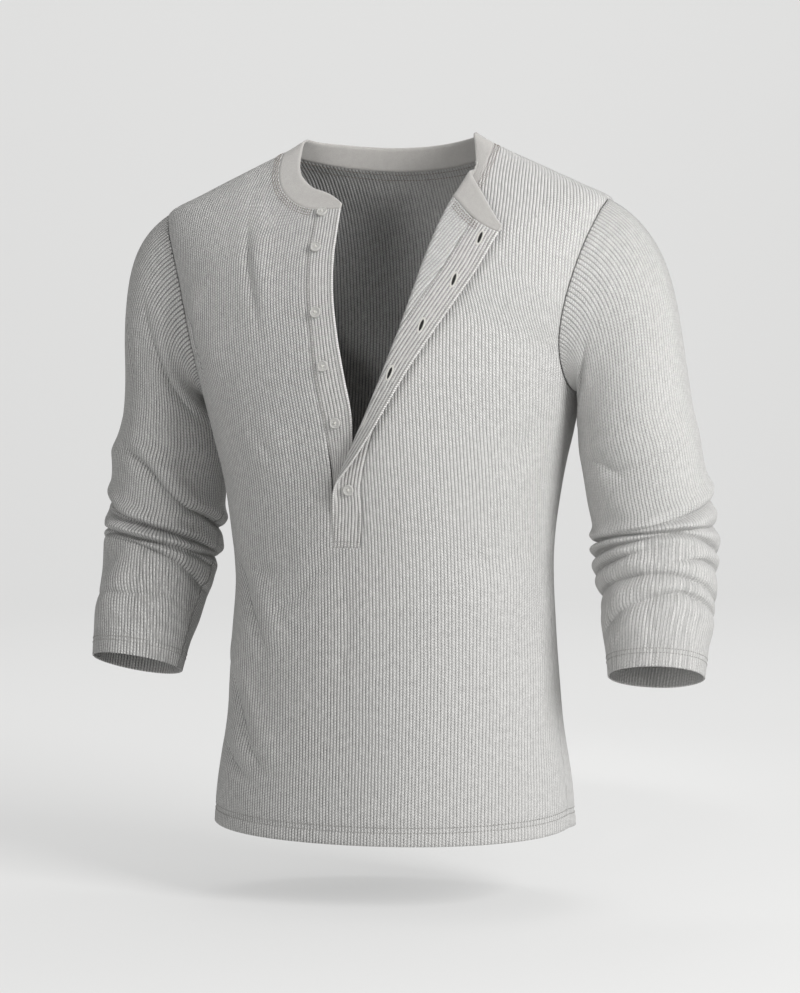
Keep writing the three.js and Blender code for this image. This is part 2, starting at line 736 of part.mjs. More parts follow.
// The button side passes under the buttonhole side at its base and comes level with the front above it.
const underlap = (z) => lerp(-3.4, -0.1, smooth((z + 320) / 60));
function buttonPlacketPlace(z, inset) {
  return place(buttonSeam("s", z) + SEAM_GAP / 2 + inset, z, underlap(z));
}

function buttonPlacket() {
  const heights = [-391, -368, -345, -320, -297, -263, -229, -193, -158, -125, -92, -62.4];
  const across = 2;
  const places = heights.flatMap((z) =>
    fractionsTo(across).map((f) => buttonPlacketPlace(z, f * buttonSeam("width", z))),
  );
  return clothWall(places.map((p) => clothAt(FRONT, p)), gridQuads(heights.length - 1, across));
}

// The buttonhole placket is sewn along the other side and turns back with it.
function buttonholePlacket() {
  const heights = [PLACKET_BASE_Z + SEAM_GAP, ...RIGHT_SLIT_ROWS.slice(1, -1), -78];
  const across = 6;
  const places = heights.flatMap((z) => {
    // The clearance grows a little where the seam itself goes round the fold.
    const start = seamBeyond(z) + lerp(SEAM_GAP / 2, CURVED_GAP, Math.exp(-(((z + 214) / 26) ** 2)));
    return fractionsTo(across).map((f) => foldedPlace(z, start + f * (PLACKET_WIDTH - SEAM_GAP)));
  });
  return clothWall(places.map((p) => clothAt(FRONT, p)), gridQuads(heights.length - 1, across, true));
}

// ---- buttons ----
// Six buttons down the placket: height, how far in from its seam, and whether it is done up.
const BUTTONS = table("z inset fastened", [
  [-66, 8, false],
  [-101, 8.5, false],
  [-164, 9.5, false],
  [-216, 12, false],
  [-271, 14, false],
  [-336, 19, true],
]);

function buttonGeometry() {
  const { radius, thickness, sides, rim } = BUTTON;
  const profile = [
    [0, 0],
    [radius - rim, 0],
    [radius, thickness / 2],
    [radius - rim, thickness],
    [0, thickness],
  ].map(([x, y]) => new THREE.Vector2(x, y));
  return new THREE.LatheGeometry(profile, sides);
}

function placeButton(mesh, { z, inset, fastened }) {
  const at = buttonPlacketPlace(z, inset);
  if (fastened) at.lift = 0; // on top of the buttonhole side, which it holds
  const { point, normal } = clothAt(FRONT, at);
  mesh.position.copy(point).addScaledVector(normal, SEAM_GAP);
  mesh.quaternion.setFromUnitVectors(new THREE.Vector3(0, 1, 0), normal);
}

// ---- assembly ----
const cloth = new THREE.MeshStandardMaterial({ color: 0xa8a7a3, roughness: 0.95, metalness: 0, side: 2 });
const bandCloth = new THREE.MeshStandardMaterial({ color: 0xa09e9a, roughness: 0.95, metalness: 0 });

const shell = new THREE.MeshStandardMaterial({ color: 0xa3a19c, roughness: 0.4, metalness: 0 });

const henley = new THREE.Group();
function add(name, geometry, material = cloth) {
  const mesh = new THREE.Mesh(geometry, material);
  mesh.name = name;
  henley.add(mesh);
  return mesh;
}
add("front", front());
add("back", back());
add("sleeve_left", sleeve(RIGHT));
add("sleeve_right", sleeve(LEFT));
add("neckband", neckband(), bandCloth);
add("button_placket", buttonPlacket());
add("buttonhole_placket", buttonholePlacket());
BUTTONS.forEach((button, i) => placeButton(add("button_" + (i + 1), buttonGeometry(), shell), button));

export default henley;
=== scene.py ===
"""A long-sleeved henley shirt in grey rib knit, filled out as worn, in a pale studio.

Lengths are in millimetres while a piece is shaped and in metres in its mesh. +Z is up, the front faces -Y and
+X is the wearer's left. Each class below makes one part of the shirt, from sizes held in a small dataclass.
"""

import logging
import math
from dataclasses import dataclass
from enum import Enum

import bpy
import numpy as np
from mathutils import Matrix, Vector


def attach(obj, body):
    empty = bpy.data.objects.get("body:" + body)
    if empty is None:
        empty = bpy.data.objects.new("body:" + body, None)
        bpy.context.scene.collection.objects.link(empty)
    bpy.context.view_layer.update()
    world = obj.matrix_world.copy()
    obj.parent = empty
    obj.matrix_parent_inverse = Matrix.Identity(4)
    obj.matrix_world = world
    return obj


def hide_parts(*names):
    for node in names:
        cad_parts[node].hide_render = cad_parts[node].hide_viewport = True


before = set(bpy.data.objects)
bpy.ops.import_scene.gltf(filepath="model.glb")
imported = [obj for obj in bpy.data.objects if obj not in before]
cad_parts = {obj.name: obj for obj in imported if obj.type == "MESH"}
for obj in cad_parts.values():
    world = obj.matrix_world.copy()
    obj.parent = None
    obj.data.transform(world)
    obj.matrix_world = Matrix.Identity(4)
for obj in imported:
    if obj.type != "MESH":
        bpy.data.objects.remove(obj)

Array = np.ndarray
LOG = logging.getLogger("henley")
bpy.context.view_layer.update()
MM = 0.001


class Panel(Enum):
    """Which half of the body a place lies on."""

    FRONT = -1
    BACK = 1


class Hand(Enum):
    """The wearer's left arm is at +X and the right arm at -X."""

    LEFT = 1
    RIGHT = -1


# ---------------------------------------------------------------------------------------------------------
# Sizes
# ---------------------------------------------------------------------------------------------------------
@dataclass(frozen=True)
class BodySizes:
    """Sizes of the shirt's body, as in the part's drawing."""

    wall: float = 1.6
    hem_z: float = -680.0
    hem_rise: float = 9.0
    hem_seam: float = 15.0
    hem_seam_dip: float = 1.1
    hem_seam_width: float = 3.2
    armhole_middle_z: float = -151.5
    armhole_half_height: float = 93.0
    front_scoop: float = 45.0
    front_sag: float = 10.0
    back_scoop: float = 40.0
    back_sag: float = 4.0
    back_neck_drop: float = 20.0
    section_power: float = 2.25
    low_rows: int = 84
    high_rows: int = 150


@dataclass(frozen=True)
class PlacketSizes:
    """Sizes of the two plackets and of the fold of the open side."""

    width: float = 30.0
    base_z: float = -393.0
    roll_radius: float = 3.5
    wall: float = 1.9
    cut_left: float = -21.5


@dataclass(frozen=True)
class BandSizes:
    """Sizes of the neckband, and how finely and smoothly it is drawn."""

    height: float = 24.0
    wall: float = 2.2
    gap: float = 0.4
    stations: int = 320
    smoothing_passes: int = 26


@dataclass(frozen=True)
class SleeveSizes:
    """Mesh steps of a sleeve."""

    around: int = 184
    cap_rings: int = 64
    arm_rings: int = 218
    girth_rings: int = 91


@dataclass(frozen=True)
class ButtonSizes:
    """A four-hole shirt button."""

    radius: float = 5.4
    thickness: float = 2.0
    rim: float = 1.3
    hole_radius: float = 0.75
    hole_offset: float = 1.45
    spin: float = 17.0


@dataclass(frozen=True)
class StitchSizes:
    """One machine stitch and the distance from one to the next."""

    pitch: float = 3.1
    length: float = 2.5
    width: float = 0.8
    height: float = 0.7


# Sections of the body: height, half width, depth of front and back, and where the middle lies.
BODY = np.array([
    (-700, 189, 110, 125, -12), (-640, 184, 109, 116, -8), (-560, 174, 107, 101, -3),
    (-480, 168, 106, 87, 1), (-410, 166, 107, 83, 3), (-340, 174, 114, 90, 4), (-280, 187, 121, 101, 5),
    (-230, 200, 120, 113, 2), (-180, 211, 111, 124, -3), (-140, 220, 98, 128, -8),
    (-100, 229, 78, 128, -12), (-70, 234.5, 59, 118, -11), (-58, 234, 52, 110, -8),
    (-40, 198, 44, 95, -4), (-20, 155, 29, 75, 0), (-8, 129, 19, 55, 3), (0, 112, 12, 42, 5),
    (14, 84, 6, 30, 5),
], float)

# Seam of the button placket: height, distance from the centre line, width.
BUTTON_SEAM = np.array([
    (-393, -21.5, 30), (-345, -18.5, 21), (-320, -18.5, 17), (-297, -20.5, 25), (-263, -25, 31),
    (-229, -31.5, 31.5), (-185, -37, 28.5), (-146, -43, 28), (-112, -46, 27.5), (-82, -47.5, 26.5),
    (-62, -50, 26),
], float)

# Fold of the open side: height, edge, turn in degrees, cloth beyond the fold.
LAPEL = np.array([
    (-393, -21, 0, 0), (-372, -18.8, 15, 1), (-352, -15.5, 60, 4.5), (-331, -10, 110, 10),
    (-312, 0, 135, 16), (-284, 14.5, 145, 22), (-250, 31, 158, 25), (-211, 47.5, 168, 31),
    (-166, 64, 173, 43), (-114, 79, 175, 61), (-75, 89, 176, 70), (-55, 95, 176, 73),
    (-20, 106, 176, 76),
], float)

# On the folded part: distance beyond the fold, height of the neck seam, height of the band's edge.
FOLDED_NECK = np.array([
    (0, -56, -29), (12, -61, -36), (28, -68.5, -46), (40, -73.5, -54), (52, -77.5, -62), (64, -80, -71),
    (76, -81, -77),
], float)

# Neck seam from the opening up to the shoulder seam, on each side: distance from the centre line, height.
LEFT_NECK = np.array([(-50, -62), (-62, -60), (-77, -54), (-92, -43), (-103, -29), (-109.5, -15), (-114.8, -0.5)])
RIGHT_NECK = np.array([(106, -50.5), (113.5, -38), (115.2, -18), (114.8, -0.5)])

# The arm's line and the sleeve's half-sizes: height, x, y, to the side, to the front.
ARM = np.array([
    (-520, 279.6, -17, 47, 48), (-505, 278.5, -12, 48.5, 50), (-480, 276.5, -4, 51, 52),
    (-450, 274, 8, 53, 55), (-420, 270, 19, 56, 58), (-390, 267, 25, 57, 59), (-360, 263, 26, 58, 59),
    (-330, 258, 24, 58, 59), (-296, 252, 26, 59, 64), (-272, 248, 26, 56, 66),
], float)

# The button side: height, how far in from the seam, done up or not.
BUTTONS = ((-66, 8, False), (-101, 8.5, False), (-164, 9.5, False), (-216, 12, False), (-271, 14, False),
           (-336, 19, True))

# Buttonholes on the folded placket: height on the fold where each lies and distance in from the seam.
BUTTONHOLES = ((-90, 17.5), (-129.5, 17.5), (-174, 17), (-222, 16), (-270, 14))


@dataclass(frozen=True)
class Crease:
    """A crease or soft ridge that runs through some points.

    On a panel a point is (distance from the centre line, height). On a sleeve it is (degrees round the arm
    from its outer side by the front, height on the arm's line). A depth above zero sinks in.
    """

    depth: float
    width: float
    points: tuple[tuple[float, float], ...]
    shoulder: float = 0.45


BODY_CREASES: dict[Panel, tuple[Crease, ...]] = {
    Panel.FRONT: (
        Crease(-5, 22, ((-190, -130), (-170, -180), (-150, -230)), 0),
        Crease(-3.5, 26, ((-150, -250), (-110, -290), (-70, -330)), 0),
        Crease(4, 24, ((-200, -430), (-130, -418), (-60, -400)), 0),
        Crease(-3.5, 26, ((-190, -520), (-140, -496), (-80, -470)), 0),
        Crease(-3, 28, ((60, -470), (120, -450), (190, -430)), 0),
        Crease(3, 20, ((200, -260), (175, -300), (150, -330)), 0),
        Crease(2.6, 7, ((-128, -28), (-122, -72), (-112, -115), (-99, -160), (-92, -190))),
        Crease(-1.6, 9, ((-104, -60), (-96, -110), (-84, -150)), 0),
        Crease(3.0, 8, ((-205, -130), (-196, -165), (-203, -215), (-214, -250))),
        Crease(2.4, 8, ((-214, -148), (-188, -200), (-180, -245))),
        Crease(1.6, 10, ((-110, -268), (-92, -290), (-78, -312))),
        Crease(1.8, 9, ((-160, -395), (-120, -415), (-85, -418))),
        Crease(1.5, 11, ((-175, -590), (-130, -612), (-80, -618))),
        Crease(1.6, 12, ((205, -265), (180, -292), (158, -330))),
        Crease(1.2, 14, ((190, -395), (140, -408), (90, -402))),
        Crease(1.2, 13, ((-10, -420), (-4, -470), (-14, -530))),
        Crease(1.5, 10, ((-20, -400), (-60, -440), (-110, -470))),
        Crease(5, 12, ((-185, -392), (-142, -430), (-114, -470), (-98, -505))),
        Crease(5, 12, ((-190, -500), (-152, -540), (-122, -590), (-98, -618))),
        Crease(3.5, 11, ((-190, -580), (-145, -612), (-105, -634))),
    ),
    Panel.BACK: (
        Crease(5, 24, ((-170, -430), (-100, -415), (-30, -400)), 0),
        Crease(5, 26, ((40, -450), (110, -430), (180, -410)), 0),
        Crease(-4, 30, ((-150, -350), (0, -338), (120, -330)), 0),
        Crease(-4, 34, ((-120, -520), (0, -532), (130, -540)), 0),
        Crease(2.4, 9, ((-190, -150), (-150, -200), (-120, -250))),
        Crease(2.4, 9, ((188, -160), (150, -205), (118, -262))),
        Crease(2.2, 9, ((-205, -262), (-150, -300), (-90, -310))),
        Crease(2.0, 9, ((205, -270), (160, -296), (100, -318))),
        Crease(2.2, 10, ((-160, -388), (-80, -405), (0, -402))),
        Crease(2.0, 11, ((170, -470), (90, -482), (10, -470))),
        Crease(1.8, 12, ((-170, -600), (-100, -622), (-20, -616))),
    ),
}

SLEEVE_CREASES: dict[Hand, tuple[Crease, ...]] = {
    Hand.RIGHT: (
        Crease(7.5, 7, ((60, -305), (95, -322), (140, -352), (190, -374), (240, -380))),
        Crease(8.5, 6.5, ((-20, -352), (45, -362), (110, -381), (170, -398), (215, -402))),
        Crease(7.0, 5.5, ((-30, -378), (25, -388), (90, -398), (150, -406), (205, -405), (250, -398))),
        Crease(5.0, 5, ((10, -404), (60, -394), (110, -402), (160, -412), (200, -420))),
        Crease(3.8, 4.5, ((20, -366), (46, -371), (85, -376), (112, -384))),
        Crease(5.0, 8, ((50, -398), (85, -405), (130, -420), (175, -436), (210, -440))),
        Crease(2.6, 9, ((20, -462), (90, -466), (150, -458))),
        Crease(3.5, 8, ((220, -352), (270, -366), (330, -360))),
        Crease(4.5, 7, ((230, -390), (280, -382), (335, -388))),
        Crease(4.5, 7, ((225, -425), (285, -414), (340, -420))),
        Crease(3.2, 10, ((60, -185), (90, -205), (125, -232), (150, -262)), 0.3),
        Crease(2.6, 8, ((30, -205), (50, -228), (65, -250)), 0.3),
        Crease(-4.0, 14, ((-30, -318), (20, -312), (60, -318)), 0),
    ),
    Hand.LEFT: (
        Crease(6.5, 6.5, ((-50, -352), (-22, -358), (40, -372), (80, -380), (112, -384))),
        Crease(8.0, 6, ((-40, -380), (0, -385), (60, -388), (110, -386), (165, -388), (210, -384))),
        Crease(7.0, 6, ((-40, -408), (0, -402), (51, -390), (100, -398), (158, -404), (205, -410))),
        Crease(5.0, 5, ((80, -410), (105, -415), (160, -422), (195, -426))),
        Crease(6.0, 7, ((-45, -452), (0, -448), (60, -441), (110, -440), (165, -442), (200, -438))),
        Crease(5.5, 8, ((-40, -463), (0, -460), (48, -455), (100, -466), (160, -484))),
        Crease(3.6, 5, ((-30, -424), (20, -420), (60, -426))),
        Crease(4.0, 8, ((215, -362), (265, -372), (315, -366))),
        Crease(5.0, 7, ((220, -400), (270, -392), (325, -402))),
        Crease(4.0, 8, ((215, -432), (275, -440), (325, -436))),
        Crease(3.2, 10, ((170, -262), (150, -232), (125, -205), (100, -186)), 0.3),
        Crease(2.4, 10, ((150, -300), (120, -312), (90, -330)), 0.3),
        Crease(2.0, 12, ((40, -312), (80, -322), (120, -322)), 0.3),
    ),
}


# ---------------------------------------------------------------------------------------------------------
# Curves, the body's form and closed cloth
# ---------------------------------------------------------------------------------------------------------
def along(rows: Array, column: int, at: Array | float) -> Array:
    """Smooth value of a column where the first column, which only rises, is at.

    Args:
        rows: the table.
        column: which column to read.
        at: one or more values of the first column.

    Returns:
        The values, straight beyond the table's ends.
    """
    x, y = rows[:, 0], rows[:, column]
    h = np.diff(x)
    slope = np.diff(y) / h
    m = np.empty_like(y)
    m[1:-1] = (h[1:] * slope[:-1] + h[:-1] * slope[1:]) / (h[1:] + h[:-1])
    m[0], m[-1] = slope[0], slope[-1]
    at = np.asarray(at, float)
    t = np.clip(at, x[0], x[-1])
    i = np.clip(np.searchsorted(x, t, side="right") - 1, 0, len(x) - 2)
    u = (t - x[i]) / h[i]
    value = (1 + 2 * u) * (1 - u) ** 2 * y[i] + u * (1 - u) ** 2 * h[i] * m[i]
    value += u * u * (3 - 2 * u) * y[i + 1] + u * u * (u - 1) * h[i] * m[i + 1]
    return value + (at - t) * np.where(at > t, m[-1], m[0])


def by_index(points: Array, count: float, at: Array) -> Array:
    """Points of a table at equal steps, read smoothly at 0 to count."""
    index = np.linspace(0, count, len(points))
    rows = np.column_stack([index, points])
    return np.stack([along(rows, c + 1, at) for c in range(points.shape[1])], -1)


def smooth(x: Array | float) -> Array:
    """Smooth step from 0 to 1."""
    x = np.clip(x, 0, 1)
    return x * x * (3 - 2 * x)


def unit(v: Array) -> Array:
    """Vectors of length one."""
    return v / np.maximum(np.linalg.norm(v, axis=-1, keepdims=True), 1e-12)


def unevenness(x: Array, y: Array, seed: int, scale: float) -> Array:
    """Soft random waves of about one, for cloth that is never quite even.

    Args:
        x: first flat coordinate.
        y: second flat coordinate.
        seed: fixes the waves.
        scale: their wavelength.

    Returns:
        A value for each place.
    """
    rng = np.random.default_rng(seed)
    total = np.zeros(np.broadcast(x, y).shape)
    for _ in range(9):
        turn, phase, size = rng.uniform(0, 2 * np.pi, 3)
        k = 2 * np.pi / (scale * rng.uniform(0.6, 1.6))
        total = total + np.sin(k * (np.cos(turn) * x + np.sin(turn) * y) + phase) * (0.6 + 0.4 * np.sin(size))
    return total / 3


def crease_height(creases: tuple[Crease, ...], x: Array, y: Array, x_scale: float = 1.0) -> Array:
    """How far creases move the cloth out at each place.

    Args:
        creases: the creases.
        x: first coordinate of the places.
        y: second coordinate of the places.
        x_scale: millimetres to one unit of the first coordinate.

    Returns:
        The height out of the cloth.
    """
    height = np.zeros(np.broadcast(x, y).shape)
    for crease in creases:
        path = np.array(crease.points, float) * (x_scale, 1)
        steps = np.diff(path, axis=0)
        lengths = np.linalg.norm(steps, axis=1)
        total, start = lengths.sum(), 0.0
        nearest = np.full(height.shape, 1e9)
        where, above = np.zeros(height.shape), np.zeros(height.shape)
        for origin, step, length in zip(path[:-1], steps, lengths):
            dx, dy = x * x_scale - origin[0], y - origin[1]
            t = np.clip((dx * step[0] + dy * step[1]) / length**2, 0, 1)
            gap = np.hypot(dx - t * step[0], dy - t * step[1])
            closer = gap < nearest
            nearest = np.where(closer, gap, nearest)
            above = np.where(closer, np.sign(step[0] * dy - step[1] * dx), above)
            where = np.where(closer, (start + t * length) / total, where)
            start += length
        fade = np.clip(4 * where * (1 - where), 0, 1) ** 0.8 * (0.85 + 0.15 * np.sin(9 * where + crease.depth))
        near = nearest / crease.width
        valley = np.exp(-(near**1.7))
        if crease.shoulder:
            steep = near * (1 + 1.6 * (above > 0))
            valley = 0.35 * np.exp(-(steep**1.8)) + 0.75 * np.exp(-3.2 * steep)
        banks = np.exp(-(((near - 1.5) / 1.1) ** 2)) * (1 + 0.45 * above)
        height = height - crease.depth * fade * (valley - crease.shoulder * banks)
    return height


class Form:
    """The plain filled-out form of the body: level sections that are fuller than ellipses."""

    STEPS = 240
    LOW, HIGH, STEP = -706.0, 20.0, 1.0

    def __init__(self, sizes: BodySizes) -> None:
        """Tabulate both halves of the sections, evenly by the distance round them."""
        self.sizes = sizes
        self.heights = np.arange(self.LOW, self.HIGH + self.STEP, self.STEP)
        turn = np.linspace(0, np.pi / 2, 721)
        power = 2 / sizes.section_power
        shape_x, shape_y = np.sin(turn) ** power, np.maximum(np.cos(turn), 0) ** power
        self.middle = along(BODY, 4, self.heights)
        self.lengths: dict[Panel, Array] = {}
        self.tables: dict[Panel, Array] = {}
        share = np.linspace(0, 1, self.STEPS + 1)
        half = along(BODY, 1, self.heights)
        for panel, column in ((Panel.FRONT, 2), (Panel.BACK, 3)):
            depth = along(BODY, column, self.heights)
            table = np.empty((len(self.heights), self.STEPS + 1, 2))
            length = np.empty(len(self.heights))
            for i in range(len(self.heights)):
                x, y = half[i] * shape_x, depth[i] * shape_y
                run = np.concatenate([[0], np.cumsum(np.hypot(np.diff(x), np.diff(y)))])
                length[i] = run[-1]
                table[i, :, 0] = np.interp(share * run[-1], run, x)
                table[i, :, 1] = np.interp(share * run[-1], run, y)
            self.lengths[panel] = length
            self.tables[panel] = table

    def side(self, panel: Panel, z: Array | float) -> Array:
        """Distance round the section from the centre line to the side seam."""
        return np.interp(z, self.heights, self.lengths[panel])

    def point(self, panel: Panel, s: Array, z: Array) -> Array:
        """Points of the form.

        Args:
            panel: front or back.
            s: distance round the section from the centre line.
            z: height.

        Returns:
            The points, in millimetres.
        """
        s, z = np.broadcast_arrays(np.asarray(s, float), np.asarray(z, float))
        row = np.clip((z - self.LOW) / self.STEP, 0, len(self.heights) - 1.001)
        i = row.astype(int)
        u = (row - i)[..., None]
        share = np.clip(np.abs(s) / self.side(panel, z), 0, 1) * self.STEPS
        k = np.minimum(share.astype(int), self.STEPS - 1)
        w = (share - k)[..., None]
        table = self.tables[panel]
        low = table[i, k] * (1 - w) + table[i, k + 1] * w
        high = table[i + 1, k] * (1 - w) + table[i + 1, k + 1] * w
        xy = low * (1 - u) + high * u
        middle = np.interp(z, self.heights, self.middle)
        return np.stack([np.sign(s) * xy[..., 0], middle + panel.value * xy[..., 1], z], -1)

    def normal(self, panel: Panel, s: Array, z: Array) -> Array:
        """Outward normals of the form."""
        s, z = np.broadcast_arrays(np.asarray(s, float), np.asarray(z, float))
        side = self.side(panel, z)
        centre = np.clip(s, -side + 3, side - 3)
        across = self.point(panel, centre + 2.5, z) - self.point(panel, centre - 2.5, z)
        share = centre / side
        up = self.point(panel, share * self.side(panel, z + 2.5), z + 2.5)
        up = up - self.point(panel, share * self.side(panel, z - 2.5), z - 2.5)
        return unit(np.cross(across, up) * -panel.value)

    def cloth(self, panel: Panel, s: Array, z: Array, lift: Array | float = 0.0) -> Array:
        """Points of the cloth over the form, with the body's creases and unevenness."""
        s, z = np.broadcast_arrays(np.asarray(s, float), np.asarray(z, float))
        side = self.side(panel, z)
        from_side = side - np.abs(s)
        height = crease_height(BODY_CREASES[panel], s, z) * smooth(from_side / 40)
        height = height + 0.7 * unevenness(s, z, 11 + panel.value, 120) * smooth(from_side / 30)
        height = height * smooth(-z / 120)
        above_hem = z - self.sizes.hem_z - self.sizes.hem_rise * (s / side) ** 2
        from_seam = (above_hem - self.sizes.hem_seam) / self.sizes.hem_seam_width
        height = height - self.sizes.hem_seam_dip * np.exp(-(from_seam**2))
        return self.point(panel, s, z) + self.normal(panel, s, z) * (height + lift)[..., None]


@dataclass
class Net:
    """A grid of cloth before it is given its thickness.

    places is (rows, columns, 3) in millimetres and flat is (rows, columns, 2), where each point lay in the
    cloth before it was cut: across the wales and along them.
    """

    places: Array
    flat: Array
    turned: bool = False


def grid_quads(rows: int, columns: int, turned: bool, start: int = 0) -> Array:
    """Quads of a grid of rows by columns of points."""
    index = start + np.arange(rows * columns).reshape(rows, columns)
    quads = np.stack([index[:-1, :-1], index[:-1, 1:], index[1:, 1:], index[1:, :-1]], -1).reshape(-1, 4)
    return quads[:, ::-1] if turned else quads


def net_normals(points: Array, quads: Array) -> Array:
    """Normals at the points of a net of quads."""
    normals = np.zeros_like(points)
    face = np.cross(points[quads[:, 2]] - points[quads[:, 0]], points[quads[:, 3]] - points[quads[:, 1]])
    for corner in range(4):
        np.add.at(normals, quads[:, corner], face)
    return unit(normals)


def closed_cloth(name: str, nets: list[Net], wall: float, round_edge: bool = True) -> bpy.types.Object:
    """A closed shell from nets of cloth that share their joining rows.

    Args:
        name: the piece's name.
        nets: the grids; points that coincide are joined.
        wall: thickness of the cloth, laid inwards.
        round_edge: gives the free edges a soft, rounded rim.

    Returns:
        The piece, at the origin, with its flat coordinates in a UV map.
    """
    points, flats, quads, start = [], [], [], 0
    for net in nets:
        rows, columns = net.places.shape[:2]
        quads.append(grid_quads(rows, columns, net.turned, start))
        points.append(net.places.reshape(-1, 3))
        flats.append(net.flat.reshape(-1, 2))
        start += rows * columns
    place, flat, quad = np.concatenate(points), np.concatenate(flats), np.concatenate(quads)
    _, first, same = np.unique(np.round(place, 3), axis=0, return_index=True, return_inverse=True)
    quad, place, flat = same.reshape(-1)[quad], place[first], flat[first]
    normals = net_normals(place, quad)
    count = len(place)
    inner = place - normals * wall
    edge_from = quad.reshape(-1)
    edge_to = np.roll(quad, -1, axis=1).reshape(-1)
    code, back = edge_from * count + edge_to, edge_to * count + edge_from
    free = ~np.isin(code, back)
    a, b = edge_from[free], edge_to[free]
    rim_of = np.full(count, -1)
    rim = np.unique(a)
    rim_of[rim] = 2 * count + np.arange(len(rim))
    outwards = np.zeros_like(place)
    edge_out = np.cross(place[b] - place[a], normals[a])
    np.add.at(outwards, a, edge_out)
    np.add.at(outwards, b, edge_out)
    swell = 0.42 * wall if round_edge else 0.0
    rim_place = (place + inner)[rim] / 2 + unit(outwards[rim]) * swell
    faces = np.concatenate([
        quad,
        quad[:, ::-1] + count,
        np.stack([b, a, rim_of[a], rim_of[b]], -1),
        np.stack([rim_of[b], rim_of[a], a + count, b + count], -1),
    ])
    vertices = np.concatenate([place, inner, rim_place]) * MM
    uv = np.concatenate([flat, flat, flat[rim]])
    return mesh_piece(name, vertices, faces, uv)


def in_scene(name: str, data: bpy.types.ID) -> bpy.types.Object:
    """A new object of the scene, at the origin, from its mesh, curve, light or camera."""
    made = bpy.data.objects.new(name, data)
    bpy.context.scene.collection.objects.link(made)
    return made


def mesh_piece(name: str, vertices: Array, faces: Array, uv: Array | None = None) -> bpy.types.Object:
    """A smooth-shaded object from arrays of vertices in metres and quads."""
    mesh = bpy.data.meshes.new(name)
    mesh.from_pydata(vertices.tolist(), [], faces.tolist())
    if uv is not None:
        layer = mesh.uv_layers.new(name="flat")
        corners = np.empty(len(mesh.loops), int)
        mesh.loops.foreach_get("vertex_index", corners)
        layer.data.foreach_set("uv", (uv[corners] * MM).astype(np.float32).ravel())
    mesh.polygons.foreach_set("use_smooth", [True] * len(mesh.polygons))
    mesh.validate()
    mesh.update()
    return in_scene(name, mesh)


def run_lengths(places: Array, across: Array, base: int) -> Array:
    """Distance along each column of a grid, from its base row, less the step across the wales."""
    step = np.sum(np.diff(places, axis=0) ** 2, -1) - np.diff(across, axis=0) ** 2
    run = np.concatenate([np.zeros((1, places.shape[1])), np.cumsum(np.sqrt(np.maximum(step, 0)), axis=0)])
    return run - run[base]


class Lapel:
    """The open side's fold: a soft roll, past which the cloth lies back on the front."""

    def __init__(self, sizes: PlacketSizes) -> None:
        """Keep the sizes of the fold."""
        self.sizes = sizes

    def seam_beyond(self, z: Array | float) -> Array:
        """Distance from the fold to the placket's seam, below zero where the seam is before the fold."""
        return along(LAPEL, 3, z) - self.sizes.width

    def hinge(self, z: Array | float) -> tuple[Array, Array, Array, Array]:
        """Where the turn starts, the direction away from the opening (two values) and how far it turns."""
        z = np.asarray(z, float)
        turn = np.radians(along(LAPEL, 2, z))
        lean = smooth((z - self.sizes.base_z) / 40) * (along(LAPEL, 1, z + 8) - along(LAPEL, 1, z - 8)) / 16
        size = np.hypot(1, lean)
        start = along(LAPEL, 1, z) + self.sizes.roll_radius * np.sin(np.minimum(turn, np.pi / 2))
        return start, 1 / size, -lean / size, turn

    def place(self, z: Array | float, beyond: Array | float) -> tuple[Array, Array, Array]:
        """Place of the cloth that lies a distance beyond the fold, before it where below zero.

        Args:
            z: height on the fold.
            beyond: distance past the start of the turn.

        Returns:
            Distance from the centre line, height and lift off the form.
        """
        start, across_s, across_z, turn = self.hinge(z)
        radius = self.sizes.roll_radius
        angle = np.minimum(np.maximum(beyond, 0) / radius, turn)
        rest = beyond - radius * angle
        offset = -radius * np.sin(angle) - rest * np.cos(angle)
        lift = radius * (1 - np.cos(angle)) + rest * np.sin(angle)
        return start + across_s * offset, z + across_z * offset, lift


SIDE_ROWS = (-393, -372, -352, -331, -312, -286, -266)
LEFT_SLIT_ROWS = (*SIDE_ROWS, -229, -193, -158, -125, -92, -62)
SLIT_TOP = -74.6  # where the folded side's seam meets the neck
RIGHT_SLIT_ROWS = (*SIDE_ROWS, -228, -208, -188, -155, -115, SLIT_TOP)
TOP_ROW = 18.0  # rows are counted from the placket's base to the shoulder seam
NECK_ROW = 12.0
SIDE_ROW = 6.0
SEAM_GAP = 0.3
SEAM_DIP = 0.9  # how deep the cloth dips at a seam, and over what distance it fades
SEAM_DIP_REACH = 2.4
UNSEWN = 60.0  # a distance at which a seam's dip has gone
FINE_REACH = 72.0  # the right half's columns are fine this far from the opening, then coarse
FINE_STEP = 1.5
COARSE_COLUMNS = 34


def right_columns(total: Array | float) -> tuple[Array, Array]:
    """Distances from the opening of the right half's fine columns, and of its coarse ones up to a total."""
    near = np.arange(0, FINE_REACH + FINE_STEP, FINE_STEP)
    return near, FINE_REACH + (total - FINE_REACH) * np.linspace(0, 1, COARSE_COLUMNS)[1:]


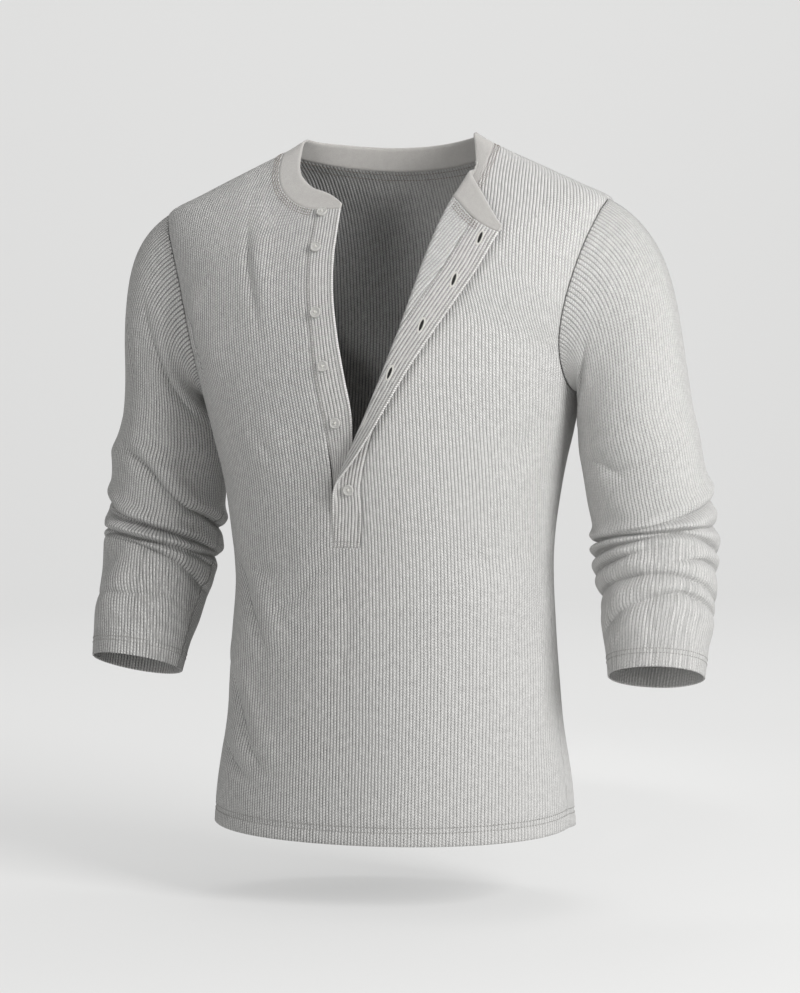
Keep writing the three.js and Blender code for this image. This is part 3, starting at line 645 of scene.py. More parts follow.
class Body:
    """Front and back of the shirt over the plain form."""

    def __init__(self, form: Form, lapel: Lapel) -> None:
        """Keep the form and the fold, and tabulate the shoulder seam."""
        self.form = form
        self.lapel = lapel
        self.sizes = form.sizes
        heights = np.linspace(14, self.tip_z, 400)
        self.shoulders = {p: (form.side(p, heights), heights) for p in Panel}
        self.neck_half = float(form.side(Panel.BACK, 0.0)) - SEAM_GAP

    @property
    def tip_z(self) -> float:
        """Height of the shoulder tip."""
        return self.sizes.armhole_middle_z + self.sizes.armhole_half_height

    def hem_z(self, share: Array) -> Array:
        """Height of the hem by the share of the way to the side seam."""
        return self.sizes.hem_z + self.sizes.hem_rise * share**2

    def shoulder_z(self, panel: Panel, s: Array) -> Array:
        """Height of the shoulder seam where the section is this wide."""
        wide, heights = self.shoulders[panel]
        return np.interp(s, wide, heights)

    def armhole(self, panel: Panel, angle: Array, inset: float = 0.0) -> tuple[Array, Array]:
        """Place on the armhole's edge, by the angle from the shoulder (0) down to the underarm (pi)."""
        z = self.sizes.armhole_middle_z + (self.sizes.armhole_half_height - inset) * np.cos(angle)
        scoop = self.sizes.front_scoop if panel is Panel.FRONT else self.sizes.back_scoop
        sag = self.sizes.front_sag if panel is Panel.FRONT else self.sizes.back_sag
        cut = scoop * np.sin(angle) - sag * np.sin(2 * angle)
        return self.form.side(panel, z) - cut - inset, z

    def outer_edge(self, panel: Panel, row: Array) -> tuple[Array, Array]:
        """Outer edge of a half panel by row: up its side seam, then round its armhole."""
        low = self.armhole(panel, np.array(np.pi), SEAM_GAP / 2)[1]
        z_side = np.interp(row, np.arange(8), (*SIDE_ROWS, float(low)))
        angle = np.pi * (1 - np.clip((row - SIDE_ROW - 1) / 11, 0, 1))
        s_hole, z_hole = self.armhole(panel, angle, SEAM_GAP / 2)
        side = row < SIDE_ROW + 1
        s_side = self.form.side(panel, z_side) - SEAM_GAP / 2
        return np.where(side, s_side, s_hole), np.where(side, z_side, z_hole)

    def to_shoulder(self, panel: Panel, row: Array, share: Array, inner: tuple[float, float]) -> Array:
        """How far the last rows rise to end on the shoulder seam."""
        s_tip, z_tip = self.outer_edge(panel, np.array(TOP_ROW))
        s = abs(inner[0]) + (s_tip - abs(inner[0])) * share
        seam = np.minimum(self.shoulder_z(panel, s), inner[1] + (z_tip - inner[1]) * share + 12)
        straight = inner[1] + (z_tip - inner[1]) * share
        return smooth((row - 13) / 5) * (seam - SEAM_GAP / 2 - straight)

    @staticmethod
    def seam_dip(distance: Array) -> Array:
        """How far the cloth dips towards a seam that is this far off."""
        return -SEAM_DIP * np.exp(-np.maximum(distance, 0) / SEAM_DIP_REACH)

    def left_rows(self, row: Array, columns: int) -> Net:
        """Upper left half of the front, from the button placket's seam to the side."""
        z_slit = np.interp(row, np.arange(13), LEFT_SLIT_ROWS)
        neck = by_index(LEFT_NECK, 6, np.clip(row - NECK_ROW, 0, 6))
        in_neck = row > NECK_ROW
        s_in = np.where(in_neck, neck[:, 0], along(BUTTON_SEAM, 1, z_slit) - SEAM_GAP / 2)
        z_in = np.where(in_neck, neck[:, 1], z_slit)
        s_out, z_out = self.outer_edge(Panel.FRONT, row)
        share = np.linspace(0, 1, columns + 1)[None, :]
        s = s_in[:, None] * (1 - share) - s_out[:, None] * share
        z = z_in[:, None] * (1 - share) + z_out[:, None] * share
        z = z + self.to_shoulder(Panel.FRONT, row[:, None], share, tuple(LEFT_NECK[-1]))
        width = s_out[:, None] + s_in[:, None]
        sewn = self.seam_dip(share * width + UNSEWN * in_neck[:, None])
        sewn = sewn + self.seam_dip((1 - share) * width) * smooth(row - SIDE_ROW - 0.5)[:, None]
        places = self.form.cloth(Panel.FRONT, s, z, sewn * smooth(row)[:, None])
        cut = self.lapel.sizes.cut_left + 1.3 * np.where(in_neck, s_in - LEFT_NECK[0, 0], 0)
        across = cut[:, None] * (1 - share) - s_out[:, None] * share
        return Net(places, np.stack([across, run_lengths(places, across, 0)], -1), True)

    def right_rows(self, row: Array) -> Net:
        """Upper right half of the front, from the cloth folded back, over the fold, to the side."""
        marks = (NECK_ROW, NECK_ROW + 1, NECK_ROW + 2, NECK_ROW + 2.6)
        z_slit = np.interp(row, np.arange(13), RIGHT_SLIT_ROWS)
        top = float(self.lapel.seam_beyond(RIGHT_SLIT_ROWS[-1]))
        beyond = np.interp(row, marks, (top, 25, 7.3, 0))
        folded_z = along(FOLDED_NECK, 1, beyond)
        join = np.clip(NECK_ROW + 1 - row, 0, 1) * (RIGHT_SLIT_ROWS[-1] - along(FOLDED_NECK, 1, top))
        z_start = np.where(row <= NECK_ROW, z_slit, folded_z + join)
        beyond = np.where(row <= NECK_ROW, self.lapel.seam_beyond(z_slit) - SEAM_GAP / 2, beyond)
        s_bend, z_bend, _ = self.lapel.place(z_start, np.minimum(beyond, 0))
        neck = by_index(RIGHT_NECK, 3, np.clip(row - NECK_ROW - 3, 0, 3))
        reach = smooth((row - NECK_ROW - 2.6) / 0.4)
        s_bend = np.where(row > NECK_ROW + 2.6, s_bend * (1 - reach) + neck[:, 0] * reach, s_bend)
        z_bend = np.where(row > NECK_ROW + 2.6, z_bend * (1 - reach) + neck[:, 1] * reach, z_bend)
        s_out, z_out = self.outer_edge(Panel.FRONT, row)
        before = np.maximum(beyond, 0)[:, None]
        length = np.hypot(s_out - s_bend, z_out - z_bend)[:, None]
        total = before + length
        near, far = right_columns(total)
        distance = np.concatenate([np.broadcast_to(near, (len(row), len(near))), far], 1)
        s_fold, z_fold, lift = self.lapel.place(z_start[:, None], before - distance)
        share = np.clip((distance - before) / length, 0, 1)
        folded = distance < before
        s = np.where(folded, s_fold, s_bend[:, None] * (1 - share) + s_out[:, None] * share)
        z = np.where(folded, z_fold, z_bend[:, None] * (1 - share) + z_out[:, None] * share)
        z = z + self.to_shoulder(Panel.FRONT, row[:, None], share, tuple(RIGHT_NECK[-1]))
        sewn = self.seam_dip(distance + UNSEWN * (row > NECK_ROW)[:, None])
        sewn = sewn + self.seam_dip(total - distance) * smooth(row - SIDE_ROW - 0.5)[:, None]
        places = self.form.cloth(Panel.FRONT, s, z, np.where(folded, lift, 0) + sewn * smooth(row)[:, None])
        across = np.where(folded, s_bend[:, None] - (before - distance), s)
        across = across + 0.2 * np.maximum(z_bend[:, None] + 170, 0) * smooth((z_bend[:, None] + 170) / 60)
        return Net(places, np.stack([across, run_lengths(places, across, 0)], -1), False)

    def front(self) -> bpy.types.Object:
        """The front panel, slit down the placket.

        Returns:
            The piece.
        """
        row = np.linspace(0, TOP_ROW, self.sizes.high_rows + 1)
        left, right = self.left_rows(row, 62), self.right_rows(row)
        base_z = self.lapel.sizes.base_z
        base = self.form.side(Panel.FRONT, base_z)
        s_left = np.linspace(float(along(BUTTON_SEAM, 1, base_z)) - SEAM_GAP / 2,
                             -(float(base) - SEAM_GAP / 2), 63)[::-1]
        s_right = self.right_base()
        between = np.linspace(s_left[-1], s_right[0], 11)[1:-1]
        top = np.concatenate([s_left, between, s_right])
        level = np.linspace(0, 1, self.sizes.low_rows + 1)[:, None]
        share = top[None, :] / base
        z = self.hem_z(share) * (1 - level) + base_z * level
        spread = self.form.side(Panel.FRONT, z) - SEAM_GAP / 2
        s = np.where(np.abs(share) > 0.999, np.sign(share) * spread,
                     share * spread * (1 - level**2) + top[None, :] * level**2)
        places = self.form.cloth(Panel.FRONT, s, z)
        places[-1, : len(s_left)] = left.places[0, ::-1]
        places[-1, -len(s_right):] = right.places[0]
        low = Net(places, np.stack([s, run_lengths(places, s, -1)], -1), False)
        return closed_cloth("front_panel", [low, left, right], self.sizes.wall)

    def right_base(self) -> Array:
        """Distances from the centre line of the right half's columns at the placket's base."""
        base_z = self.lapel.sizes.base_z
        start = -float(self.lapel.seam_beyond(base_z)) + float(self.lapel.hinge(base_z)[0]) + SEAM_GAP / 2
        end = float(self.form.side(Panel.FRONT, base_z)) - SEAM_GAP / 2
        return start + np.concatenate(right_columns(end - start))

    def back_neck_z(self, s: Array) -> Array:
        """Height of the back neck seam."""
        return -self.sizes.back_neck_drop * (1 - (s / self.neck_half) ** 2) - SEAM_GAP

    def back(self) -> bpy.types.Object:
        """The back panel."""
        row = np.linspace(0, TOP_ROW, self.sizes.high_rows + 1)
        s_tip, z_tip = self.outer_edge(Panel.BACK, np.array(TOP_ROW))
        end = np.linspace(-1, 1, 151) * float(s_tip)
        for sign in (-1, 1):
            end[np.argmin(np.abs(end - sign * self.neck_half))] = sign * self.neck_half
        seam = np.where(np.abs(end) <= self.neck_half, self.back_neck_z(end),
                        self.shoulder_z(Panel.BACK, np.abs(end)) - SEAM_GAP / 2)
        share = (end / s_tip)[None, :]
        s_out, z_out = (edge[:, None] for edge in self.outer_edge(Panel.BACK, row))
        rise = (row[:, None] / TOP_ROW) ** 3
        s_high = share * s_out * (1 - rise) + end[None, :] * rise
        z_high = z_out + (seam[None, :] - z_tip) * rise
        level = np.linspace(0, 1, self.sizes.low_rows + 1)[:-1, None]
        z_low = self.hem_z(share) * (1 - level) + self.lapel.sizes.base_z * level
        s_low = share * (self.form.side(Panel.BACK, z_low) - SEAM_GAP / 2)
        s, z = np.concatenate([s_low, s_high]), np.concatenate([z_low, z_high])
        places = self.form.cloth(Panel.BACK, s, z)
        flat = np.stack([s, run_lengths(places, s, self.sizes.low_rows)], -1)
        return closed_cloth("back_panel", [Net(places, flat, True)], self.sizes.wall)


class Sleeve:
    """A set-in sleeve, pushed up so that it creases below the elbow."""

    def __init__(self, hand: Hand, body: Body, sizes: SleeveSizes) -> None:
        """Shape the sleeve's outer face.

        Args:
            hand: which arm.
            body: the body that the sleeve is set in.
            sizes: mesh steps.
        """
        self.hand, self.body, self.sizes = hand, body, sizes
        self.angles = np.pi + 2 * np.pi * np.arange(sizes.around + 1) / sizes.around
        self.places, self.levels = self.rings()
        self.places = self.creased(self.places)

    def frame(self, z: Array) -> tuple[Array, Array, Array, Array]:
        """Middle of the arm and its directions down, outward and forward, at heights on its line."""
        side = self.hand.value
        middle = np.stack([side * along(ARM, 1, z), along(ARM, 2, z), z], -1)
        ahead = np.stack([side * along(ARM, 1, z - 6), along(ARM, 2, z - 6), z - 6], -1)
        behind = np.stack([side * along(ARM, 1, z + 6), along(ARM, 2, z + 6), z + 6], -1)
        down = unit(ahead - behind)
        outward = np.zeros_like(down)
        outward[..., 0] = side
        outward = unit(outward - down * np.sum(down * outward, -1, keepdims=True))
        forward = np.zeros_like(down)
        forward[..., 1] = -1
        forward = forward - down * np.sum(down * forward, -1, keepdims=True)
        forward = unit(forward - outward * np.sum(outward * forward, -1, keepdims=True))
        return middle, down, outward, forward

    def arm_rings(self, z: Array) -> Array:
        """Rings of the sleeve round the arm at heights on its line."""
        middle, _, outward, forward = self.frame(z)
        crumple = 2 * smooth((-300 - z) / 50) * smooth((z + 500) / 40)
        across = (along(ARM, 3, z) + crumple)[:, None] * np.cos(self.angles)
        ahead = (along(ARM, 4, z) + crumple)[:, None] * np.sin(self.angles)
        return middle[:, None] + outward[:, None] * across[..., None] + forward[:, None] * ahead[..., None]

    def armhole(self) -> tuple[Array, Array]:
        """The armhole's points and the angle of each from the shoulder down."""
        turn = np.mod(self.angles, 2 * np.pi)
        front = turn <= np.pi + 1e-9
        down = np.where(front, turn, 2 * np.pi - turn)
        points = np.empty((len(turn), 3))
        for panel, mask in ((Panel.FRONT, front), (Panel.BACK, ~front)):
            s, z = self.body.armhole(panel, down[mask])
            points[mask] = self.body.form.cloth(panel, self.hand.value * s, z)
        points[-1] = points[0]
        return points, down

    def rings(self) -> tuple[Array, Array]:
        """Plain rings from the armhole to the cuff, with each ring's height on the arm's line."""
        points, down = self.armhole()
        side = self.hand.value
        start = np.stack([np.full(down.shape, side * 0.92), 0 * down, -0.38 * np.cos(down / 2) - 0.12], -1)
        origin = points + start * 0.5
        top, cuff = ARM[-1, 0], ARM[0, 0]
        first = self.arm_rings(np.array([top]))[0]
        along_arm = self.frame(np.array([top]))[1][0]
        reach = (45 + 190 * (1 + np.cos(down)) / 2)[:, None]
        u = np.linspace(0, 1, self.sizes.cap_rings + 1)[:, None, None]
        cap = (1 + 2 * u) * (1 - u) ** 2 * origin + u * (1 - u) ** 2 * reach * start
        cap = cap + u * u * (3 - 2 * u) * first + u * u * (u - 1) * reach * along_arm
        heights = np.linspace(top, cuff, self.sizes.arm_rings + 1)[1:]
        levels = np.concatenate([-150 + (top + 150) * u[:, 0, 0], heights])
        return np.concatenate([cap, self.arm_rings(heights)]), levels

    def creased(self, places: Array) -> Array:
        """The rings with their creases and unevenness pushed in along the cloth's normals."""
        rows, columns = places.shape[:2]
        normals = net_normals(places.reshape(-1, 3), grid_quads(rows, columns, self.hand is Hand.RIGHT))
        normals = normals.reshape(rows, columns, 3)
        normals[:, 0] = normals[:, -1] = unit(normals[:, 0] + normals[:, -1])
        degrees = np.mod(np.degrees(self.angles), 360)[None, :]
        level = self.levels[:, None]
        creases = SLEEVE_CREASES[self.hand]
        height = crease_height(creases, degrees, level) + crease_height(creases, degrees - 360, level)
        round_arm = 60 * np.cos(np.radians(degrees)), 60 * np.sin(np.radians(degrees))
        rough = unevenness(round_arm[0] + level, round_arm[1] - 0.6 * level, 23 + self.hand.value, 70)
        gathered = smooth((-330 - level) / 40) * smooth((level + 500) / 40)
        height = 1.25 * height + rough * (0.5 + 1.1 * gathered)
        height = height * smooth((np.arange(rows)[:, None]) / 14)
        return places + normals * height[..., None]

    def build(self) -> bpy.types.Object:
        """The sleeve as a closed tube of cloth.

        Returns:
            The piece.
        """
        girth = np.linalg.norm(np.diff(self.places, axis=1), axis=-1).sum(1)
        count = self.sizes.girth_rings
        girth = np.convolve(np.pad(girth, count // 2, "edge"), np.ones(count) / count, "valid")
        across = (np.linspace(0, 1, self.sizes.around + 1) - 0.5)[None, :] * girth[:, None]
        flat = np.stack([across, run_lengths(self.places, across, 0)], -1)
        name = "sleeve_" + self.hand.name.lower() + "_cloth"
        net = Net(self.places, flat, self.hand is Hand.RIGHT)
        return closed_cloth(name, [net], self.body.sizes.wall)

    def above_cuff(self, distance: float) -> tuple[Array, Array]:
        """Points round the sleeve a distance above the cuff's edge, with their normals."""
        step = np.linalg.norm(np.diff(self.places, axis=0), axis=-1).mean(1)
        run = np.concatenate([[0], np.cumsum(step)])
        at = np.interp(run[-1] - distance, run, np.arange(len(run)))
        i = int(at)
        points = self.places[i] * (1 - at + i) + self.places[i + 1] * (at - i)
        middle = points[:-1].mean(0)
        down = unit(self.places[-1].mean(0) - self.places[-12].mean(0))
        out = points - middle
        return points, unit(out - down * (out @ down)[:, None])


class Neckband:
    """The band round the neck, turned over with the folded side."""

    LEFT_RISE = np.array([
        (-24.5, 1, 7), (-33, 1, 15), (-42, 1, 21), (-50, 0.99, 24), (-62, 0.97, 24), (-77, 0.9, 24),
        (-92, 0.78, 24), (-103, 0.6, 24), (-109.5, 0.5, 24),
    ])
    RIGHT_EDGE = ((97.5, -4), (104, -18), (107.5, -26))
    FOLD_STATIONS = (0, 3.7, 7.3, 11, 17, 23, 30, 37, 44, 51, 58, 64)
    FOLD_END_Z = -78
    ACROSS = 8

    def __init__(self, body: Body, sizes: BandSizes) -> None:
        """Keep the body and the band's sizes."""
        self.body, self.sizes = body, sizes

    def rise(self, s: float, z: float, lean: float, distance: float) -> tuple[float, float]:
        """The place that lies a true distance up the form from another."""
        form, across = self.body.form, math.sqrt(max(0.0, 1 - lean * lean))
        start = form.point(Panel.FRONT, s, z)
        near = form.point(Panel.FRONT, s + across * 0.5, z + lean * 0.5)
        scale = distance * 0.5 / float(np.linalg.norm(near - start))
        return s + across * scale, z + lean * scale

    def line(self, seam: tuple[float, ...], edge: tuple[float, ...]) -> Array:
        """Points on the cloth from a place on the seam to one on the band's edge."""
        share = np.linspace(0, 1, self.ACROSS + 1)
        s, z, lift = (seam[i] + (edge[i] - seam[i]) * share for i in range(3))
        return self.body.form.cloth(Panel.FRONT, s, z, lift)

    def stations(self) -> Array:
        """Lines of points from the seam to the edge, from the button side round to the folded side."""
        lines, gap = [], self.sizes.gap
        neck = LEFT_NECK[::-1]
        for s, lean, height in self.LEFT_RISE:
            z = float(along(neck, 1, s)) if s <= -50 else -62.0
            lines.append(self.line((*self.rise(s, z, lean, gap), 0), (*self.rise(s, z, lean, height), 0)))
        half = self.body.neck_half
        for share in np.linspace(-1, 1, 13):
            s = share * half
            seam = self.body.form.cloth(Panel.BACK, s, self.body.back_neck_z(s))
            inward = unit(np.array([-seam[0], 10 - seam[1], 0]))
            angle = math.radians(30 + 46 * (1 - share * share))
            up = inward * math.cos(angle) + np.array([0, 0, math.sin(angle)])
            reach = gap + (self.sizes.height - gap) * np.linspace(0, 1, self.ACROSS + 1)
            lines.append(seam + up * reach[:, None])
        for seam, edge in zip(RIGHT_NECK[::-1][1:], self.RIGHT_EDGE):
            share = 0.6 / math.hypot(edge[0] - seam[0], edge[1] - seam[1])
            start = seam + (np.array(edge) - seam) * share
            lines.append(self.line((*start, 0), (*edge, 0)))
        for beyond in (*self.FOLD_STATIONS, float(along(LAPEL, 3, self.FOLD_END_Z))):
            seam_z, edge_z = along(FOLDED_NECK, 1, beyond) + gap, along(FOLDED_NECK, 2, beyond)
            lines.append(self.line(self.body.lapel.place(seam_z, beyond), self.body.lapel.place(edge_z, beyond)))
        return np.array(lines)

    def build(self) -> bpy.types.Object:
        """The band as a closed strip.

        Returns:
            The piece.
        """
        lines = self.stations()
        steps = np.linalg.norm(np.diff(lines[:, 3], axis=0), axis=-1)
        run = np.concatenate([[0], np.cumsum(steps)])
        at = np.linspace(0, run[-1], self.sizes.stations)
        table = np.column_stack([run, lines.reshape(len(lines), -1)])
        places = np.stack([along(table, c + 1, at) for c in range(table.shape[1] - 1)], -1)
        places = places.reshape(len(at), self.ACROSS + 1, 3)
        pull = np.linspace(0, 1, self.ACROSS + 1)[None, :, None] ** 0.7
        for _ in range(self.sizes.smoothing_passes):
            middle = (places[:-2] + places[2:]) / 2 - places[1:-1]
            places[1:-1] += 0.5 * pull * middle
        run = np.concatenate([[0], np.cumsum(np.linalg.norm(np.diff(places[:, 4], axis=0), axis=-1))])
        up = np.linspace(0, self.sizes.height, self.ACROSS + 1)
        flat = np.stack(np.broadcast_arrays(run[:, None], up[None, :]), -1)
        return closed_cloth("neckband_cloth", [Net(places, flat)], self.sizes.wall)


class Plackets:
    """The button side's strip and the buttonhole side's strip, which turns back with the fold."""

    def __init__(self, body: Body) -> None:
        """Keep the body and its fold."""
        self.body, self.lapel, self.sizes = body, body.lapel, body.lapel.sizes

    def underlap(self, z: Array | float) -> Array:
        """Lift of the button side, which passes under the other at its base."""
        return -3.4 + 3.7 * smooth((z + 320) / 60)

    def button_place(self, z: Array | float, inset: Array | float) -> tuple[Array, Array, Array]:
        """Place on the button side, in from its seam."""
        dip = Body.seam_dip(inset)
        return along(BUTTON_SEAM, 1, z) + SEAM_GAP / 2 + inset, z, self.underlap(z) + dip

    def hole_place(self, z: Array | float, inset: Array | float) -> tuple[Array, Array, Array]:
        """Place on the buttonhole side, in from its seam."""
        start = self.lapel.seam_beyond(z) + SEAM_GAP / 2
        s, height, lift = self.lapel.place(z, start + inset)
        return s, height, lift + Body.seam_dip(inset)

    def strip(self, name: str, z: Array, inset: Array, places: Array, turned: bool) -> bpy.types.Object:
        """A closed strip from its points; ribs run along it."""
        flat = np.stack([inset, run_lengths(places, inset, 0)], -1)
        LOG.info("%s: %d rows", name, len(z))
        return closed_cloth(name, [Net(places, flat, turned)], self.sizes.wall)

    def button_side(self) -> bpy.types.Object:
        """The strip that carries the buttons."""
        z = np.linspace(-391, -62.4, 130)[:, None]
        share = np.linspace(0, 1, 13)[None, :]
        width = along(BUTTON_SEAM, 2, z)
        places = self.body.form.cloth(Panel.FRONT, *self.button_place(z, share * width))
        inset = np.broadcast_to(share * self.sizes.width, places.shape[:2])
        return self.strip("button_placket_cloth", z, inset, places, False)

    def hole_side(self) -> bpy.types.Object:
        """The strip with the buttonholes."""
        inset = np.linspace(0, 1, 25)[None, :] * (self.sizes.width - SEAM_GAP)
        top = np.full(inset.shape, -75.0)
        for _ in range(6):
            top = along(FOLDED_NECK, 1, self.lapel.seam_beyond(top) + inset) - SEAM_GAP
        low = self.sizes.base_z + SEAM_GAP
        z = low + (top - low) * np.linspace(0, 1, 180)[:, None]
        inset = np.broadcast_to(inset, z.shape)
        places = self.body.form.cloth(Panel.FRONT, *self.hole_place(z, inset))
        return self.strip("buttonhole_placket_cloth", z, inset, places, True)


# ---------------------------------------------------------------------------------------------------------
# Finishes
# ---------------------------------------------------------------------------------------------------------
@dataclass(frozen=True)
class KnitFinish:
    """A knitted cloth: its colour, how its ribs run and how strongly they show, with the painted shade in its
    grooves on each half of the body.
    """

    name: str
    colour: tuple[float, float, float]
    rib_pitch: float
    course_pitch: float
    rib_height: float
    # Painted shade in the grooves: first on the wearer's right half, which faces away from the key light, then on
    # the left half, which faces it.
    shaded_half_groove_shade: float
    lit_half_groove_shade: float
    fleck: float = 0.16


@dataclass(frozen=True)
class PlainFinish:
    """A smooth finish of one colour."""

    name: str
    colour: tuple[float, float, float]
    roughness: float
    fleck: float = 0.0
    glow: float = 0.0


# The sixth and seventh numbers are the painted groove shade on the wearer's right and left halves.
RIB_KNIT = KnitFinish("rib_knit", (0.485, 0.48, 0.468), 3.4, 2.7, 1.5, 1.25, 0.5, 0.36)
PLACKET_KNIT = KnitFinish("placket_knit", (0.52, 0.512, 0.498), 3.5, 2.2, 1.3, 1.2, 0.9, 0.26)
FINE_KNIT = KnitFinish("fine_knit", (0.36, 0.348, 0.332), 1.15, 1.0, 0.22, 0.25, 0.25)
THREAD = PlainFinish("thread", (0.5, 0.49, 0.46), 0.8)
SHADED_THREAD = PlainFinish("shaded_thread", (0.24, 0.235, 0.225), 0.85)
DARK_THREAD = PlainFinish("dark_thread", (0.2, 0.168, 0.145), 0.85)
BUTTON_SHELL = PlainFinish("button_shell", (0.36, 0.355, 0.34), 0.34, 0.1)
# Painted shadow: a near-black sheet over each buttonhole stands for the shade in its slit.
SLIT_SHADOW = PlainFinish("buttonhole_slit", (0.018, 0.017, 0.016), 0.95)
STUDIO = PlainFinish("studio", (0.3, 0.3, 0.297), 0.95, glow=0.45)


class Nodes:
    """Short calls for building a node tree."""

    def __init__(self, tree: bpy.types.NodeTree) -> None:
        """Start in a tree, emptied of its nodes."""
        self.tree = tree
        tree.nodes.clear()

    def add(self, kind: str, values: dict | None = None, **settings: object) -> bpy.types.Node:
        """Add a node.

        Args:
            kind: the node's type.
            values: by input name or number, a constant or the output socket of another node.
            settings: the node's own properties.

        Returns:
            The node.
        """
        node = self.tree.nodes.new(kind)
        for key, value in settings.items():
            setattr(node, key, value)
        for key, value in (values or {}).items():
            if isinstance(value, bpy.types.NodeSocket):
                self.tree.links.new(value, node.inputs[key])
            else:
                node.inputs[key].default_value = value
        return node

    def math(self, operation: str, *values: object) -> bpy.types.NodeSocket:
        """Output of a math node."""
        return self.add("ShaderNodeMath", dict(enumerate(values)), operation=operation).outputs[0]


def knit_group() -> bpy.types.NodeTree:
    """The node group of ribbed knitting, shared by every knitted cloth.

    Returns:
        A group that takes flat coordinates and sizes, and gives the height, the painted shade of the grooves and
        stitch dips, and the flecks.
    """
    tree = bpy.data.node_groups.new("knit", "ShaderNodeTree")
    face = tree.interface
    face.new_socket("Flat", in_out="INPUT", socket_type="NodeSocketVector")
    for name in ("Rib Pitch", "Course Pitch"):
        face.new_socket(name, in_out="INPUT", socket_type="NodeSocketFloat")
    for name in ("Height", "Groove", "Fleck"):
        face.new_socket(name, in_out="OUTPUT", socket_type="NodeSocketFloat")
    nodes = Nodes(tree)
    given = nodes.add("NodeGroupInput").outputs
    wander = nodes.add("ShaderNodeTexNoise", {"Vector": given["Flat"], "Scale": 14.0, "Detail": 2.0})
    xyz = nodes.add("ShaderNodeSeparateXYZ", {0: given["Flat"]}).outputs
    sway = nodes.math("MULTIPLY", nodes.math("SUBTRACT", wander.outputs[0], 0.5), 0.0016)
    across = nodes.math("DIVIDE", nodes.math("ADD", xyz[0], sway), given["Rib Pitch"])
    wave = nodes.math("ABSOLUTE", nodes.math("SINE", nodes.math("MULTIPLY", across, math.pi)))
    rib = nodes.math("POWER", wave, 0.55)
    off_middle = nodes.math("ABSOLUTE", nodes.math("SUBTRACT", nodes.math("FRACT", across), 0.5))
    lean = nodes.math("MULTIPLY", off_middle, 1.6)
    parity = nodes.math("MULTIPLY", nodes.math("FLOOR", across), 0.5)
    up = nodes.math("DIVIDE", xyz[1], given["Course Pitch"])
    course = nodes.math("ADD", up, nodes.math("ADD", lean, parity))
    stitch = nodes.math("SINE", nodes.math("MULTIPLY", course, 2 * math.pi))
    loops = nodes.math("MULTIPLY", nodes.math("SUBTRACT", 1.0, stitch), 0.22)
    fuzz = nodes.add("ShaderNodeTexNoise", {"Vector": given["Flat"], "Scale": 1500.0, "Detail": 3.0}).outputs[0]
    patch = nodes.add("ShaderNodeVectorMath", {0: given["Flat"], 1: (330.0, 120.0, 1.0)}, operation="MULTIPLY")
    uneven = nodes.add("ShaderNodeTexNoise", {"Vector": patch.outputs[0], "Scale": 1.0, "Detail": 2.0}).outputs[0]
    depth = nodes.add("ShaderNodeMapRange", {0: uneven, 1: 0.3, 2: 0.62, 3: 0.4, 4: 1.0}).outputs[0]
    broken = nodes.math("MULTIPLY", depth, nodes.math("ADD", nodes.math("MULTIPLY", stitch, 0.45), 0.66))
    height = nodes.math("ADD", nodes.math("MULTIPLY", rib, nodes.math("SUBTRACT", 1.0, loops)),
                        nodes.math("MULTIPLY", fuzz, 0.12))
    # Painted shade: the colour darkens in the grooves between the ribs, broken up by the stitches.
    groove = nodes.add("ShaderNodeMapRange", {0: wave, 1: 0.8, 2: 0.1, 3: 0.0, 4: 1.0},
                       interpolation_type="SMOOTHSTEP").outputs[0]
    # Painted shade in the dips between the stitch loops.
    dip_shade = nodes.math("MULTIPLY", nodes.math("MAXIMUM", nodes.math("MULTIPLY", stitch, -1.0), 0.0), 0.3)
    stretch = nodes.add("ShaderNodeVectorMath", {0: given["Flat"], 1: (1400.0, 520.0, 1.0)}, operation="MULTIPLY")
    fleck = nodes.add("ShaderNodeTexNoise", {"Vector": stretch.outputs[0], "Scale": 1.0, "Detail": 4.0,
                                             "Roughness": 0.7}).outputs[0]
    shade = nodes.math("ADD", nodes.math("MULTIPLY", groove, broken), dip_shade)
    mottle = nodes.add("ShaderNodeTexNoise", {"Vector": given["Flat"], "Scale": 150.0, "Detail": 3.0}).outputs[0]
    flecks = nodes.math("ADD", nodes.math("MULTIPLY", fleck, 0.75), nodes.math("MULTIPLY", mottle, 0.25))
    nodes.add("NodeGroupOutput", {"Height": height, "Groove": shade, "Fleck": flecks})
    return tree


